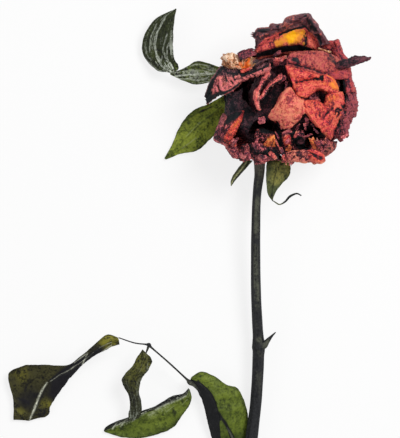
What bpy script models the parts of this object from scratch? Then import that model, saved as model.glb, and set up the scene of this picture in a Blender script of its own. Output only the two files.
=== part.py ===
"""One dried, wilted rose on its cut stem, laid down on a table.

Lengths in the tables are millimetres and angles are degrees; the meshes are made in metres.
The rose lies along +Y with the bloom at the far end. +Z is up, and the table is Z = 0.

The bloom is a nest of cups round one leaning axis. Every cup is the same turned shape drawn
smaller about one pivot, so two cups never meet. A petal is a patch of a cup: its heading and
spread say where it stands round the axis, and its rim says how far up the cup it reaches.
Leaflets and sepals are blades: a midrib through a few stations, with a width to each side.
"""

import math

import bmesh
import bpy
from mathutils import Matrix, Vector, noise

MM = 0.001

# Thickness of the sheets.
PETAL_THICK = 0.6
LEAF_THICK = 0.7
SEPAL_THICK = 0.7

# The hip (the swelling that the petals stand on) and the bloom's axis, which leans to the sky.
BLOOM_BASE = Vector((29.6, 34.0, 23.6))
AXIS_RISE = 15.0
AXIS_RIGHT = 20.0
BLOOM_DEPTH = 0.88
HIP_LENGTH = 8.0
HIP_RADIUS = 4.4

# The outermost cup as (radius, height over the hip), root first, and the pivot of the nest.
CUP = ((6.0, 1.5), (13.5, -3.8), (24.5, -2.0), (31.0, 8.0), (33.0, 22.0), (31.5, 35.0), (27.0, 46.0),
       (20.0, 55.0), (12.5, 62.0))
CUP_PIVOT = 22.0

# Drying moved all the petals together: waves as (length, depth). The table flattened the lowest.
CRUMPLES = ((17.0, 2.0), (7.0, 0.7))
CRUMPLE_SEED = 8
TABLE_SOFTNESS = 0.9

# The stem's centre line with its radius, from the hip to the cut end.
STEM = (
    ((26.9, 26.2, 20.3), 2.7),
    ((26.7, 20.0, 18.9), 2.3),
    ((25.4, 8.5, 16.4), 2.05),
    ((25.0, -14.0, 13.4), 2.15),
    ((25.5, -36.5, 11.0), 2.25),
    ((26.5, -52.0, 9.6), 2.4),
    ((26.7, -63.5, 8.7), 2.6),
    ((25.2, -81.5, 7.1), 2.6),
    ((22.9, -98.0, 5.6), 2.85),
    ((21.6, -107.5, 4.8), 3.0),
    ((20.7, -122.0, 3.9), 3.0),
    ((20.6, -135.5, 3.05), 3.05),
)
STEM_SIDES = 12

COLOURS = {
    "petal_coral": (0.55, 0.12, 0.09),
    "petal_red": (0.33, 0.06, 0.05),
    "petal_burgundy": (0.15, 0.045, 0.045),
    "petal_black": (0.025, 0.015, 0.018),
    "leaf_green": (0.10, 0.13, 0.03),
    "leaf_olive": (0.05, 0.055, 0.025),
    "sepal_green": (0.10, 0.12, 0.05),
    "stem_bark": (0.045, 0.045, 0.042),
}
ROUGHNESS = 0.65


# ------------------------------------------------------------------ curves and sheets


def catmull_rom(points, share):
    """The value a share of the way along a smooth curve through the given points."""
    last = len(points) - 1
    place = min(max(share, 0.0), 1.0) * last
    i = min(int(place), last - 1)
    t = place - i
    before, start, end, after = points[max(i - 1, 0)], points[i], points[i + 1], points[min(i + 2, last)]
    return [
        0.5 * (2 * b + (c - a) * t + (2 * a - 5 * b + 4 * c - d) * t**2 + (3 * b - a - 3 * c + d) * t**3)
        for a, b, c, d in zip(before, start, end, after)
    ]


def smooth_step(low, high, value):
    t = min(max((value - low) / (high - low), 0.0), 1.0)
    return t * t * (3 - 2 * t)


def over_table(point, clear):
    """The point pressed up off the table, so that a sheet of that half thickness lies on it."""
    height = (point.z - clear) / TABLE_SOFTNESS
    lifted = TABLE_SOFTNESS * math.log1p(math.exp(height)) if height < 30 else point.z - clear
    return Vector((point.x, point.y, lifted + clear))


def sheet_mesh(name, place, rows, columns, thick):
    """A closed sheet: place(u, v) gives its middle, u from root to tip and v from -1 to 1."""
    bm = bmesh.new()
    bmesh.ops.create_grid(bm, x_segments=columns, y_segments=rows, size=1.0)
    for vert in bm.verts:
        vert.co = place((vert.co.y + 1) / 2, vert.co.x)
    bmesh.ops.recalc_face_normals(bm, faces=bm.faces)
    mesh = bpy.data.meshes.new(name)
    bm.to_mesh(mesh)
    bm.free()
    mesh.transform(Matrix.Scale(MM, 4))
    piece = bpy.data.objects.new(name, mesh)
    solidify = piece.modifiers.new("thickness", "SOLIDIFY")
    solidify.thickness = thick * MM
    solidify.offset = 0.0
    solidify.use_even_offset = True
    solidify.thickness_clamp = 0.8
    return piece


# ------------------------------------------------------------------ the bloom


def bloom_directions():
    """The bloom's axis, its front (towards the sky) and its right."""
    rise, right = math.radians(AXIS_RISE), math.radians(AXIS_RIGHT)
    axis = Vector((math.cos(rise) * math.sin(right), math.cos(rise) * math.cos(right), math.sin(rise)))
    front = (Vector((0, 0, 1)) - axis * axis.z).normalized()
    return axis, front, axis.cross(front)


AXIS, FRONT, RIGHT = bloom_directions()


def bloom_point(heading, radius, height):
    """A point round the axis: heading 0 faces the sky and 90 the right."""
    angle = math.radians(heading)
    outward = FRONT * (math.cos(angle) * BLOOM_DEPTH) + RIGHT * math.sin(angle)
    return BLOOM_BASE + AXIS * height + outward * radius


def dried(point):
    moved = point.copy()
    for length, depth in CRUMPLES:
        moved += noise.noise_vector(point / length) * depth
    return over_table(moved, PETAL_THICK / 2)


# Rings from the outside in: how large the cup is, then each petal's heading, spread, rim and colour.
RINGS = (
    (1.0, {
        "hood_petal": (178, 42, 1.0, "petal_burgundy"),
        "right_rim_petal": (99, 42, 0.66, "petal_burgundy"),
        "front_right_scrap_petal": (32, 34, 0.30, "petal_coral"),
        "front_left_scrap_petal": (-28, 34, 0.30, "petal_red"),
        "left_dark_petal": (-84, 34, 0.60, "petal_black"),
        "left_flap_petal": (-128, 28, 0.62, "petal_coral"),
    }),
    (0.885, {
        "back_right_petal": (138, 42, 0.84, "petal_red"),
        "right_petal": (82, 32, 0.74, "petal_red"),
        "triangle_petal": (34, 32, 0.62, "petal_coral"),
        "front_curl_petal": (-10, 32, 0.40, "petal_coral"),
        "lower_left_petal": (-62, 36, 0.52, "petal_burgundy"),
        "back_left_petal": (-138, 46, 0.66, "petal_burgundy"),
    }),
    (0.77, {
        "back_petal": (170, 44, 0.80, "petal_burgundy"),
        "right_inner_petal": (102, 40, 0.80, "petal_red"),
        "arch_petal": (50, 36, 0.76, "petal_coral"),
        "pear_petal": (2, 36, 0.66, "petal_coral"),
        "left_inner_petal": (-50, 38, 0.58, "petal_black"),
        "left_back_petal": (-118, 42, 0.66, "petal_burgundy"),
    }),
    (0.655, {
        "band_petal": (40, 58, 1.0, "petal_red"),
        "far_petal": (152, 56, 0.84, "petal_red"),
        "left_fold_petal": (-100, 64, 0.68, "petal_black"),
    }),
    (0.54, {
        "heart_right_petal": (60, 62, 0.84, "petal_red"),
        "heart_back_petal": (180, 62, 0.84, "petal_burgundy"),
        "dark_fold_petal": (-60, 62, 0.76, "petal_black"),
    }),
    (0.425, {
        "bud_right_petal": (90, 92, 0.82, "petal_red"),
        "bud_left_petal": (-90, 92, 0.82, "petal_burgundy"),
    }),
)
# A petal's width where it stands on the hip, how much its corners round off, and how far one edge
# lies out of its cup and the other in, as shares.
CLAW_WIDTH = 0.36
CORNER_DROP = 0.16
TUCK = 0.036
PETAL_ROWS, PETAL_COLUMNS = 7, 6


def petal_place(cup, heading, spread, rim):
    """The place function of one petal."""

    def place(u, v):
        width = CLAW_WIDTH + (1 - CLAW_WIDTH) * smooth_step(0.0, 0.55, u)
        reach = rim * u * (1 - CORNER_DROP * abs(v) ** 2.6 * smooth_step(0.3, 1.0, u))
        size = cup + TUCK * v * smooth_step(0.0, 0.35, u)
        radius, height = catmull_rom(CUP, reach)
        height = CUP_PIVOT + size * (height - CUP_PIVOT)
        return dried(bloom_point(heading + spread * width * v, size * radius, height))

    return place


def make_petals():
    for cup, ring in RINGS:
        for name, (heading, spread, rim, colour) in ring.items():
            place = petal_place(cup, heading, spread, rim)
            yield sheet_mesh(name, place, PETAL_ROWS, PETAL_COLUMNS, PETAL_THICK), colour


# ------------------------------------------------------------------ blades: leaflets and sepals

# A station is (x, y, z, width to the left, width to the right, roll), going from root to tip.
# Roll 0 lies flat, and 90 stands the left side up. The fold lifts both sides off the midrib.
BLADES = {
    "spike_petal": (PETAL_THICK, 50, "petal_burgundy", (
        (57.6, 66.0, 43.5, 1.4, 1.4, 0), (63.6, 69.0, 45.5, 1.9, 1.7, 0),
        (70.6, 71.6, 45.5, 1.5, 1.3, 0), (77.0, 73.0, 44.5, 0.5, 0.5, 0),
    )),
    "sepal_right": (SEPAL_THICK, 12, "sepal_green", (
        (33.0, 27.4, 23.4, 2.6, 2.4, 0), (35.0, 23.5, 25.0, 5.2, 5.2, 0),
        (35.1, 19.4, 25.2, 5.2, 5.0, 0), (33.8, 14.6, 23.8, 3.4, 3.2, 0),
        (32.6, 9.2, 20.6, 0.7, 0.7, 0), (34.6, 7.0, 19.4, 0.5, 0.5, 0),
        (38.0, 8.4, 19.0, 0.5, 0.5, 0), (41.0, 11.0, 19.4, 0.5, 0.5, 0),
        (43.8, 12.0, 20.0, 0.45, 0.45, 0), (45.8, 10.6, 20.4, 0.4, 0.4, 0),
    )),
    "sepal_left": (SEPAL_THICK, 30, "sepal_green", (
        (23.4, 27.8, 23.0, 0.8, 0.8, 0), (21.0, 25.8, 23.4, 1.0, 1.0, 0),
        (18.0, 21.6, 22.4, 1.0, 1.0, 0), (14.4, 15.7, 20.0, 0.4, 0.4, 0),
    )),
    "sepal_under_right": (SEPAL_THICK, 15, "sepal_green", (
        (31.6, 25.6, 17.6, 1.2, 1.2, 0), (33.6, 22.0, 14.0, 2.8, 2.8, 0),
        (34.8, 18.0, 10.6, 2.6, 2.6, 0), (35.0, 13.8, 8.0, 0.5, 0.5, 0),
    )),
    "sepal_under_middle": (SEPAL_THICK, 15, "sepal_green", (
        (27.4, 24.8, 15.6, 1.2, 1.2, 0), (27.0, 21.0, 12.2, 2.0, 2.0, 0),
        (26.4, 16.4, 9.0, 1.8, 1.8, 0), (25.8, 12.0, 6.6, 0.5, 0.5, 0),
    )),
    "sepal_under_left": (SEPAL_THICK, 30, "sepal_green", (
        (23.0, 26.4, 18.8, 0.8, 0.8, 0), (20.8, 24.0, 15.6, 1.0, 1.0, 0),
        (18.0, 21.0, 12.0, 1.0, 1.0, 0), (15.6, 17.6, 9.4, 0.4, 0.4, 0),
    )),
    "upper_terminal_leaflet": (LEAF_THICK, 12, "leaf_green", (
        (8.6, 68.2, 6.0, 1.0, 1.0, 0), (4.0, 67.6, 7.0, 3.2, 3.0, 15),
        (-3.0, 67.8, 8.0, 4.6, 4.6, 20), (-9.0, 67.6, 8.2, 2.0, 2.0, 35),
        (-13.0, 67.6, 7.6, 1.0, 1.0, 75), (-18.0, 70.0, 6.6, 3.6, 6.0, 120),
        (-21.0, 76.0, 6.0, 5.0, 9.0, 145), (-19.5, 83.0, 7.5, 4.0, 7.0, 150),
        (-15.6, 89.0, 9.5, 2.0, 3.4, 150), (-11.4, 94.4, 11.0, 0.5, 0.5, 150),
    )),
    "upper_side_leaflet": (LEAF_THICK, 10, "leaf_green", (
        (10.6, 51.6, 5.4, 0.8, 0.8, 0), (7.0, 47.6, 4.6, 6.0, 4.6, -6),
        (1.4, 42.0, 3.4, 9.0, 7.6, -8), (-4.0, 37.4, 2.4, 8.4, 7.4, -6),
        (-9.6, 32.2, 1.6, 4.6, 4.0, 0), (-15.6, 27.6, 1.2, 0.5, 0.5, 0),
    )),
    "lower_terminal_leaflet": (LEAF_THICK, 14, "leaf_olive", (
        (-37.8, -54.2, 14.0, 0.8, 1.0, 0), (-43.6, -57.6, 14.4, 2.2, 3.6, 20),
        (-50.0, -61.6, 13.6, 1.6, 2.2, 35), (-59.6, -67.6, 11.0, 4.0, 2.4, 20),
        (-68.6, -74.6, 7.6, 6.6, 11.5, 5), (-73.8, -82.6, 4.6, 7.0, 13.0, 0),
        (-77.0, -90.0, 2.4, 8.2, 6.8, 0),
    )),
    "lower_hanging_leaflet": (LEAF_THICK, 18, "leaf_olive", (
        (-24.4, -59.6, 14.6, 0.8, 0.8, 0), (-27.8, -65.4, 14.8, 4.8, 4.8, 25),
        (-31.2, -72.6, 13.0, 4.4, 4.4, 30), (-30.0, -79.6, 10.8, 3.2, 3.0, 40),
        (-28.8, -87.6, 9.0, 2.8, 2.8, 50),
    )),
    "lower_left_leaflet": (LEAF_THICK, 10, "leaf_green", (
        (-6.4, -77.6, 7.4, 0.8, 0.8, 0), (-12.0, -82.6, 6.2, 7.6, 2.4, 0),
        (-21.6, -87.6, 4.0, 10.4, 2.2, 0), (-32.0, -92.4, 2.2, 8.0, 2.2, 0),
        (-42.6, -95.6, 1.2, 0.5, 0.5, 0),
    )),
    "lower_right_leaflet": (LEAF_THICK, 16, "leaf_green", (
        (-1.8, -73.2, 8.0, 1.0, 0.8, 0), (4.4, -75.6, 8.0, 5.6, 3.8, -5),
        (9.4, -84.2, 4.6, 8.6, 4.8, -14), (12.6, -94.0, 1.7, 7.4, 4.4, -14),
        (15.4, -103.0, 1.3, 2.4, 3.4, -6), (15.6, -111.0, 1.2, 0.5, 0.5, 0),
    )),
}
BLADE_ROWS_PER_STATION = 1.6
BLADE_COLUMNS = 4


def blade_place(thick, fold, stations):
    """The place function of one blade."""
    lift = math.radians(fold)

    def place(u, v):
        x, y, z, left, right, roll = catmull_rom(stations, u)
        ahead = Vector(catmull_rom(stations, min(u + 0.01, 1.0))[:3])
        behind = Vector(catmull_rom(stations, max(u - 0.01, 0.0))[:3])
        along = (ahead - behind).normalized()
        side = Vector((0, 0, 1)).cross(along).normalized()
        side.rotate(Matrix.Rotation(math.radians(roll), 3, along))
        face = along.cross(side)
        reach = max(left if v > 0 else right, 0.35) * v
        point = Vector((x, y, z)) + side * (reach * math.cos(lift)) + face * (abs(reach) * math.sin(lift))
        return over_table(point, thick / 2)

    return place


def make_blades():
    for name, (thick, fold, colour, stations) in BLADES.items():
        rows = round(BLADE_ROWS_PER_STATION * (len(stations) - 1)) + 1
        yield sheet_mesh(name, blade_place(thick, fold, stations), rows, BLADE_COLUMNS, thick), colour


# ------------------------------------------------------------------ stem, hip and stalks


def tube(name, line, sides):
    """A tapering tube through (point, radius) pairs, closed by flat ends."""
    curve = bpy.data.curves.new(name, "CURVE")
    curve.dimensions = "3D"
    curve.bevel_depth = MM
    curve.bevel_resolution = sides // 2 - 2
    curve.use_fill_caps = True
    spline = curve.splines.new("POLY")
    spline.points.add(len(line) - 1)
    for target, (point, radius) in zip(spline.points, line):
        target.co = (*(Vector(point) * MM), 1.0)
        target.radius = radius
    return bpy.data.objects.new(name, curve)


def smooth_line(line, steps):
    """The (point, radius) pairs of a line, read from a smooth curve through them."""
    flat = [(*point, radius) for point, radius in line]
    read = [catmull_rom(flat, i / steps) for i in range(steps + 1)]
    return [(tuple(values[:3]), values[3]) for values in read]


def make_stem():
    return tube("stem", smooth_line(STEM, 26), STEM_SIDES)


def make_hip():
    """The hip: an urn of turned shape between the stem and the petals."""
    tip = BLOOM_BASE + AXIS * 0.2
    profile = ((1.0, 2.3), (0.85, 3.0), (0.55, HIP_RADIUS), (0.25, HIP_RADIUS), (0.08, 3.9), (0.0, 3.2))
    return tube("hip", [(tip - AXIS * (HIP_LENGTH * share), radius) for share, radius in profile], 12)


# The stalks and stubs as (point, radius) pairs. Each starts just off what it grows from.
STALKS = {
    "stem_thorn": (
        ((30.4, -55.4, 9.9), 1.5), ((30.8, -53.8, 10.3), 0.9),
        ((32.4, -52.4, 10.7), 0.55), ((34.0, -51.4, 11.1), 0.25),
    ),
    "upper_leaf_stalk": (
        ((24.0, 23.6, 17.6), 0.8), ((21.4, 27.0, 12.6), 0.7), ((17.0, 33.0, 7.4), 0.65),
        ((13.6, 42.0, 4.6), 0.6), ((12.0, 52.4, 4.4), 0.6), ((9.6, 67.6, 5.8), 0.45),
    ),
    "lower_leaf_stalk": (
        ((17.7, -107.8, 4.6), 1.0), ((15.2, -101.0, 6.6), 0.8), ((8.6, -89.6, 8.6), 0.7),
        ((-4.4, -74.6, 9.4), 0.75), ((-14.0, -65.6, 12.0), 0.55), ((-23.2, -57.4, 15.2), 0.75),
        ((-30.0, -56.2, 15.4), 0.45), ((-37.0, -53.9, 14.4), 0.4),
    ),
}
STALK_SIDES = 8


def make_stalks():
    for name, line in STALKS.items():
        yield tube(name, smooth_line(line, 3 * (len(line) - 1)), STALK_SIDES)


# ------------------------------------------------------------------ the whole rose


def material(name):
    made = bpy.data.materials.new(name)
    made.use_nodes = True
    shader = made.node_tree.nodes["Principled BSDF"]
    shader.inputs["Base Color"].default_value = (*COLOURS[name], 1.0)
    shader.inputs["Roughness"].default_value = ROUGHNESS
    shader.inputs["Metallic"].default_value = 0.0
    return made


def world_box(pieces):
    """The lowest and highest corner of all the pieces."""
    bpy.context.view_layer.update()
    depsgraph = bpy.context.evaluated_depsgraph_get()
    corners = []
    for piece in pieces:
        evaluated = piece.evaluated_get(depsgraph)
        corners += [evaluated.matrix_world @ vert.co for vert in evaluated.to_mesh().vertices]
    return (
        Vector(min(corner[i] for corner in corners) for i in range(3)),
        Vector(max(corner[i] for corner in corners) for i in range(3)),
    )


def main():
    noise.seed_set(CRUMPLE_SEED)
    for old in list(bpy.data.objects):
        bpy.data.objects.remove(old, do_unlink=True)
    collection = bpy.data.collections.new("wilted_rose")
    bpy.context.scene.collection.children.link(collection)
    origin = bpy.data.objects.new("wilted_rose_origin", None)
    collection.objects.link(origin)

    materials = {name: material(name) for name in COLOURS}
    pieces = [*make_petals(), *make_blades()]
    pieces += [(piece, "stem_bark") for piece in (make_stem(), *make_stalks())]
    pieces.append((make_hip(), "sepal_green"))
    for piece, colour in pieces:
        piece.data.materials.append(materials[colour])
        collection.objects.link(piece)
        piece.parent = origin

    low, high = world_box([piece for piece, _ in pieces])
    origin.location = (-(low.x + high.x) / 2, -(low.y + high.y) / 2, -low.z)


main()
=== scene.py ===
# %% [markdown]
# # A dried, wilted rose
#
# One cut rose that has dried on its stem and now lies on a table: a crumpled bloom, withered
# sepals, a dark woody stem and two curled compound leaves. This lesson builds every petal and
# leaf as its own thin sheet around a plain frame of the same rose, which gives each piece its
# name and its size. Lengths are in millimetres, or in metres where a comment says so, and the
# long tables of places are in tenths of a millimetre. The rose lies along +Y with the bloom at
# the far end, and the camera looks straight down on it.

# %% Load the frame
import math

import bmesh
import bpy
import numpy as np
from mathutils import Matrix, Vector, noise


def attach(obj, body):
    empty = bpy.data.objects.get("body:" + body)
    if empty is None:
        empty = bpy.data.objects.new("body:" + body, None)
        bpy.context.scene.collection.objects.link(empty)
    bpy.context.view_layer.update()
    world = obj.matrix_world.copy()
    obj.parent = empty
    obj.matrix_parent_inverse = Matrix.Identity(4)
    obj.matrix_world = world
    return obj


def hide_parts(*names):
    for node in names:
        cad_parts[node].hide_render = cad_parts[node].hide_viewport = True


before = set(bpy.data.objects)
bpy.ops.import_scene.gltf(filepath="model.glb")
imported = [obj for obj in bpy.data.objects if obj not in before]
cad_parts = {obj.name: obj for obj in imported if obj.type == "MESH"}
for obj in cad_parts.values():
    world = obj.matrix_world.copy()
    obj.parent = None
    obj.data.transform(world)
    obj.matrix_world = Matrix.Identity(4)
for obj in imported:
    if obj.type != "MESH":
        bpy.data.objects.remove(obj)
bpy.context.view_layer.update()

# %% [markdown]
# The tables below were drawn about the middle of the rose, and the frame is centred on its own
# box, so every point is moved by the same small shift before it is written into a mesh.

# %% Units and the shift to the frame
MM = 0.001
SHIFT = np.array((4.012, 20.40, -0.006))


def to_frame(points):
    """Millimetres in the drawing to metres in the frame."""
    return (np.asarray(points, float) + SHIFT) * MM


# %% [markdown]
# ## Camera, table and light
#
# A long lens straight above the rose keeps its outline flat, as a drawing of a plant does. The
# table is nearly white and glows a little for the camera alone, so the background is plain white
# while the rose still casts a faint shadow on it.

# %% Camera
LENS, SENSOR = 200.0, 36.0
VIEW_HEIGHT = 197.1  # how much of the table the frame shows from bottom to top
FOCUS_HEIGHT = 25.0  # height at which it shows that much

camera_data = bpy.data.cameras.new("camera")
camera_data.lens = LENS
camera_data.sensor_width = SENSOR
camera_data.clip_start = 0.01
camera_data.clip_end = 20.0
camera = bpy.data.objects.new("camera", camera_data)
camera.location = to_frame((0.0, 0.0, FOCUS_HEIGHT + VIEW_HEIGHT * LENS / SENSOR))
bpy.context.scene.collection.objects.link(camera)
bpy.context.scene.camera = camera
bpy.context.scene.view_settings.view_transform = "Standard"
print("camera height mm:", round(camera.location.z / MM))


# %% Small helpers for shader nodes
def srgb(red, green, blue):
    """A colour given as 0 to 255 the way a screen shows it, as the linear one a shader needs."""
    shares = [value / 255 for value in (red, green, blue)]
    linear = [v / 12.92 if v <= 0.04045 else ((v + 0.055) / 1.055) ** 2.4 for v in shares]
    return (*linear, 1.0)


class Nodes:
    """A node tree with short ways to add nodes and join their sockets."""

    def __init__(self, tree):
        self.tree = tree

    def put(self, socket, value):
        if isinstance(value, bpy.types.NodeSocket):
            self.tree.links.new(value, socket)
        else:
            socket.default_value = value

    def add(self, kind, settings=None, **inputs):
        node = self.tree.nodes.new(kind)
        for name, value in (settings or {}).items():
            setattr(node, name, value)
        for name, value in inputs.items():
            self.put(node.inputs[name.replace("_", " ")], value)
        return node

    def math(self, operation, first, second=0.0, clamp=False):
        node = self.add("ShaderNodeMath", {"operation": operation, "use_clamp": clamp})
        self.put(node.inputs[0], first)
        self.put(node.inputs[1], second)
        return node.outputs[0]

    def sway(self, value, texture, amount):
        """A value pushed up and down by a texture about its middle."""
        return self.math("ADD", value, self.math("MULTIPLY", self.math("SUBTRACT", texture, 0.5), amount))

    def mix(self, factor, first, second):
        node = self.add("ShaderNodeMix", {"data_type": "RGBA", "clamp_factor": True})
        self.put(node.inputs[0], factor)
        self.put(node.inputs[6], first)
        self.put(node.inputs[7], second)
        return node.outputs[2]

    def ramp(self, value, low, high, start=0.0, end=1.0):
        node = self.add("ShaderNodeMapRange", {"clamp": True, "interpolation_type": "SMOOTHSTEP"})
        for socket, given in zip(node.inputs[:5], (value, low, high, start, end)):
            self.put(socket, given)
        return node.outputs[0]

    def mark(self, name):
        return self.add("ShaderNodeAttribute", {"attribute_name": name}).outputs["Fac"]

    def noise(self, vector, scale, detail=3.0, roughness=0.55):
        node = self.add("ShaderNodeTexNoise", Vector=vector, Scale=scale, Detail=detail, Roughness=roughness)
        return node.outputs["Fac"]

    def stretched(self, vector, scale):
        node = self.add("ShaderNodeMapping", Vector=vector)
        node.inputs["Scale"].default_value = scale
        return node.outputs[0]


def new_material(name):
    """A material with its helper and its Principled shader."""
    material = bpy.data.materials.new(name)
    material.use_nodes = True
    return material, Nodes(material.node_tree), material.node_tree.nodes["Principled BSDF"]


def seen_directly(nodes):
    """1 for the camera, and for what is seen in or through something else; 0 for light on the rose."""
    path = nodes.add("ShaderNodeLightPath")
    seen = nodes.math("MAXIMUM", path.outputs["Is Camera Ray"], path.outputs["Is Glossy Ray"])
    return nodes.math("MAXIMUM", seen, path.outputs["Is Transmission Ray"])


# %% Table and backdrop
FLOOR_SIZE = 30.0  # metres
FLOOR_DROP = 0.0002  # metres: keeps the table just clear of the leaves that lie on it
FLOOR_COLOUR = (0.86, 0.86, 0.86, 1.0)
FLOOR_GLOW = 0.80


def white_table():
    material, nodes, shader = new_material("white_table")
    shader.inputs["Base Color"].default_value = FLOOR_COLOUR
    shader.inputs["Roughness"].default_value = 0.9
    shader.inputs["Specular IOR Level"].default_value = 0.1
    glow = nodes.add("ShaderNodeEmission", Strength=1.0)
    blend = nodes.add("ShaderNodeMixShader")
    nodes.put(blend.inputs[0], nodes.math("MULTIPLY", seen_directly(nodes), FLOOR_GLOW))
    nodes.put(blend.inputs[1], shader.outputs[0])
    nodes.put(blend.inputs[2], glow.outputs[0])
    nodes.put(material.node_tree.nodes["Material Output"].inputs["Surface"], blend.outputs[0])
    return material


def make_table():
    bm = bmesh.new()
    bmesh.ops.create_grid(bm, x_segments=1, y_segments=1, size=FLOOR_SIZE / 2)
    mesh = bpy.data.meshes.new("table_top")
    bm.to_mesh(mesh)
    bm.free()
    mesh.materials.append(white_table())
    top = bpy.data.objects.new("table_top", mesh)
    top.location.z = -FLOOR_DROP
    bpy.context.scene.collection.objects.link(top)


make_table()

# %% World and lamps
WORLD_LIGHT = 0.34
LAMPS = (
    # name, place in metres, size in metres, power in watts
    ("key", (0.42, 0.34, 0.86), 0.42, 8.0),
    ("fill", (-0.75, -0.25, 0.80), 0.70, 1.6),
)


def make_light():
    world = bpy.data.worlds.new("studio")
    bpy.context.scene.world = world
    world.use_nodes = True
    nodes = Nodes(world.node_tree)
    background = world.node_tree.nodes["Background"]
    background.inputs["Color"].default_value = (1.0, 1.0, 1.0, 1.0)
    nodes.put(background.inputs["Strength"], nodes.ramp(seen_directly(nodes), 0.0, 1.0, WORLD_LIGHT, 1.0))
    for name, place, size, power in LAMPS:
        lamp = bpy.data.lights.new(name, "AREA")
        lamp.size = size
        lamp.energy = power
        holder = bpy.data.objects.new(name, lamp)
        holder.location = place
        holder.rotation_euler = (-Vector(place)).to_track_quat("-Z", "Y").to_euler()
        bpy.context.scene.collection.objects.link(holder)
        print("lamp", name, power, "W")


make_light()

# %% [markdown]
# ## Sheets
#
# A petal or a leaf is a thin sheet. Each one starts as a flat grid. A place function then says
# where every point of the grid goes: `u` runs from the root to the tip and `v` from one side to
# the other. Drying adds creases, and a ragged edge comes from stopping short of the tip by an
# uneven amount. A Solidify modifier gives the sheet its thickness at the end.


# %% Smooth surfaces through a net of points
TENTH = 0.1  # the tables of places are in tenths of a millimetre


def curve_weights(shares, last):
    """For each share from 0 to 1, the four net points it lies between and their weights."""
    place = np.clip(shares, 0.0, 1.0) * last
    first = np.minimum(place.astype(int), last - 1)
    t = place - first
    steps = np.clip(first[..., None] + np.arange(-1, 3), 0, last)
    weights = 0.5 * np.stack(
        (-t + 2 * t**2 - t**3, 2 - 5 * t**2 + 3 * t**3, t + 4 * t**2 - 3 * t**3, t**3 - t**2), -1
    )
    return steps, weights


def on_line(line, shares):
    """The place on a smooth line of points at each share of it."""
    steps, weights = curve_weights(shares, len(line) - 1)
    return (line[steps] * weights[..., None]).sum(-2)


def spread_evenly(row, count):
    """A net row as that many points. Between the points of a shorter row it runs straight."""
    row = np.reshape(row, (-1, 3))
    at = np.linspace(0, len(row) - 1, count)
    return np.rint(np.stack([np.interp(at, range(len(row)), axis) for axis in row.T], -1))


def net_surface(net):
    """A place function for a smooth sheet through the rows of a net."""
    widest = max(map(len, net)) // 3
    net = np.array([spread_evenly(row, widest) for row in net]) * TENTH

    def place(u, v):
        rows, row_weights = curve_weights(u, net.shape[0] - 1)
        columns, column_weights = curve_weights((v + 1) / 2, net.shape[1] - 1)
        corners = net[rows[..., :, None], columns[..., None, :]]
        return np.einsum("...r,...c,...rcx->...x", row_weights, column_weights, corners)

    return place


def smooth_step(low, high, value):
    t = np.clip((value - low) / (high - low), 0.0, 1.0)
    return t * t * (3 - 2 * t)


# %% Noise, creases and ragged edges
def noise_at(points, size, seed):
    """Smooth noise about -0.6 to 0.6 at every point of an array."""
    points = np.asarray(points, float)
    apart = seed * np.array((3.17, 1.93, 5.41))
    values = np.array([noise.noise(Vector(point)) for point in points.reshape(-1, 3) / size + apart])
    return values.reshape(points.shape[:-1])


def crease_at(points, size, seed):
    """Sharp folds, like those of crushed paper: 1 on the fold and falling off to both sides."""
    return 1.0 - 2.6 * np.abs(noise_at(points, size, seed))


def bell(value, width):
    """1 where the value is zero, falling off to both sides over that width."""
    return np.exp(-((value / width) ** 2))


def edge_at(points, size, width, seed):
    """Thin walls between cells, like the edges of crumpled shards: 1 on the wall, 0 in the cell."""
    return bell(noise_at(points, size, seed), width)


def on_sheet(across, along, apart):
    """Places for a noise that runs along a sheet instead of through space."""
    return np.stack((across, along, np.full(across.shape, apart)), -1)


def ragged(shares, teeth, depth, seed):
    """How far an uneven edge stops short, for each share along it."""
    at = np.zeros(shares.shape + (3,))
    at[..., 0] = shares * teeth
    coarse = noise_at(at, 1.0, seed + 0.5)
    at[..., 0] = shares * teeth * 3.3
    fine = noise_at(at, 1.0, seed + 9.5)
    return depth * np.clip(0.45 + 0.8 * coarse + 0.55 * fine, 0.0, 1.4)


def face_directions(points):
    """The direction each point of a grid faces."""
    along_u = np.gradient(points, axis=0)
    along_v = np.gradient(points, axis=1)
    facing = np.cross(along_v, along_u)
    return facing / np.maximum(np.linalg.norm(facing, axis=-1, keepdims=True), 1e-9)


SETTLING = 0.8  # over how much height a sheet eases on to the table


def above_table(points, clear):
    """The points pressed up off the table, so that the sheet lies on it with that gap."""
    lifted = points.copy()
    lifted[..., 2] = clear + SETTLING * np.logaddexp(0.0, (points[..., 2] - clear) / SETTLING)
    return lifted


def spots_at(points, spots):
    """Soft round stains: each spot is (x, y, radius, strength), seen from above."""
    total = np.zeros(points.shape[:-1])
    for x, y, radius, strength in spots:
        away = (points[..., 0] - x) ** 2 + (points[..., 1] - y) ** 2
        total += strength * np.exp(-((away / radius**2) ** 1.4))
    return total


def lines_at(points, lines):
    """Drawn lines seen from above: each is (half width, strength, x,y, x,y, ...) in tenths of a mm."""
    at = points[..., :2]
    total = np.zeros(points.shape[:-1])
    for width, strength, *path in lines:
        path = np.reshape(path, (-1, 2)) * TENTH
        nearest = np.full(total.shape, 1e9)
        for start, end in zip(path[:-1], path[1:]):
            along = end - start
            share = np.clip(((at - start) @ along) / max(along @ along, 1e-9), 0, 1)
            nearest = np.minimum(nearest, np.linalg.norm(at - start - share[..., None] * along, axis=-1))
        total += strength * bell(nearest, width * TENTH)
    return total


# %% From a grid of points to a piece
def add_piece(mesh, name, material):
    """Link a finished mesh as a piece that rides on the rose and stands for the frame node of its name."""
    mesh.materials.clear()
    mesh.materials.append(material)
    piece = bpy.data.objects.new(name, mesh)
    bpy.context.scene.collection.objects.link(piece)
    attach(piece, "root")
    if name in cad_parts:
        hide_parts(name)
    return piece


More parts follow.
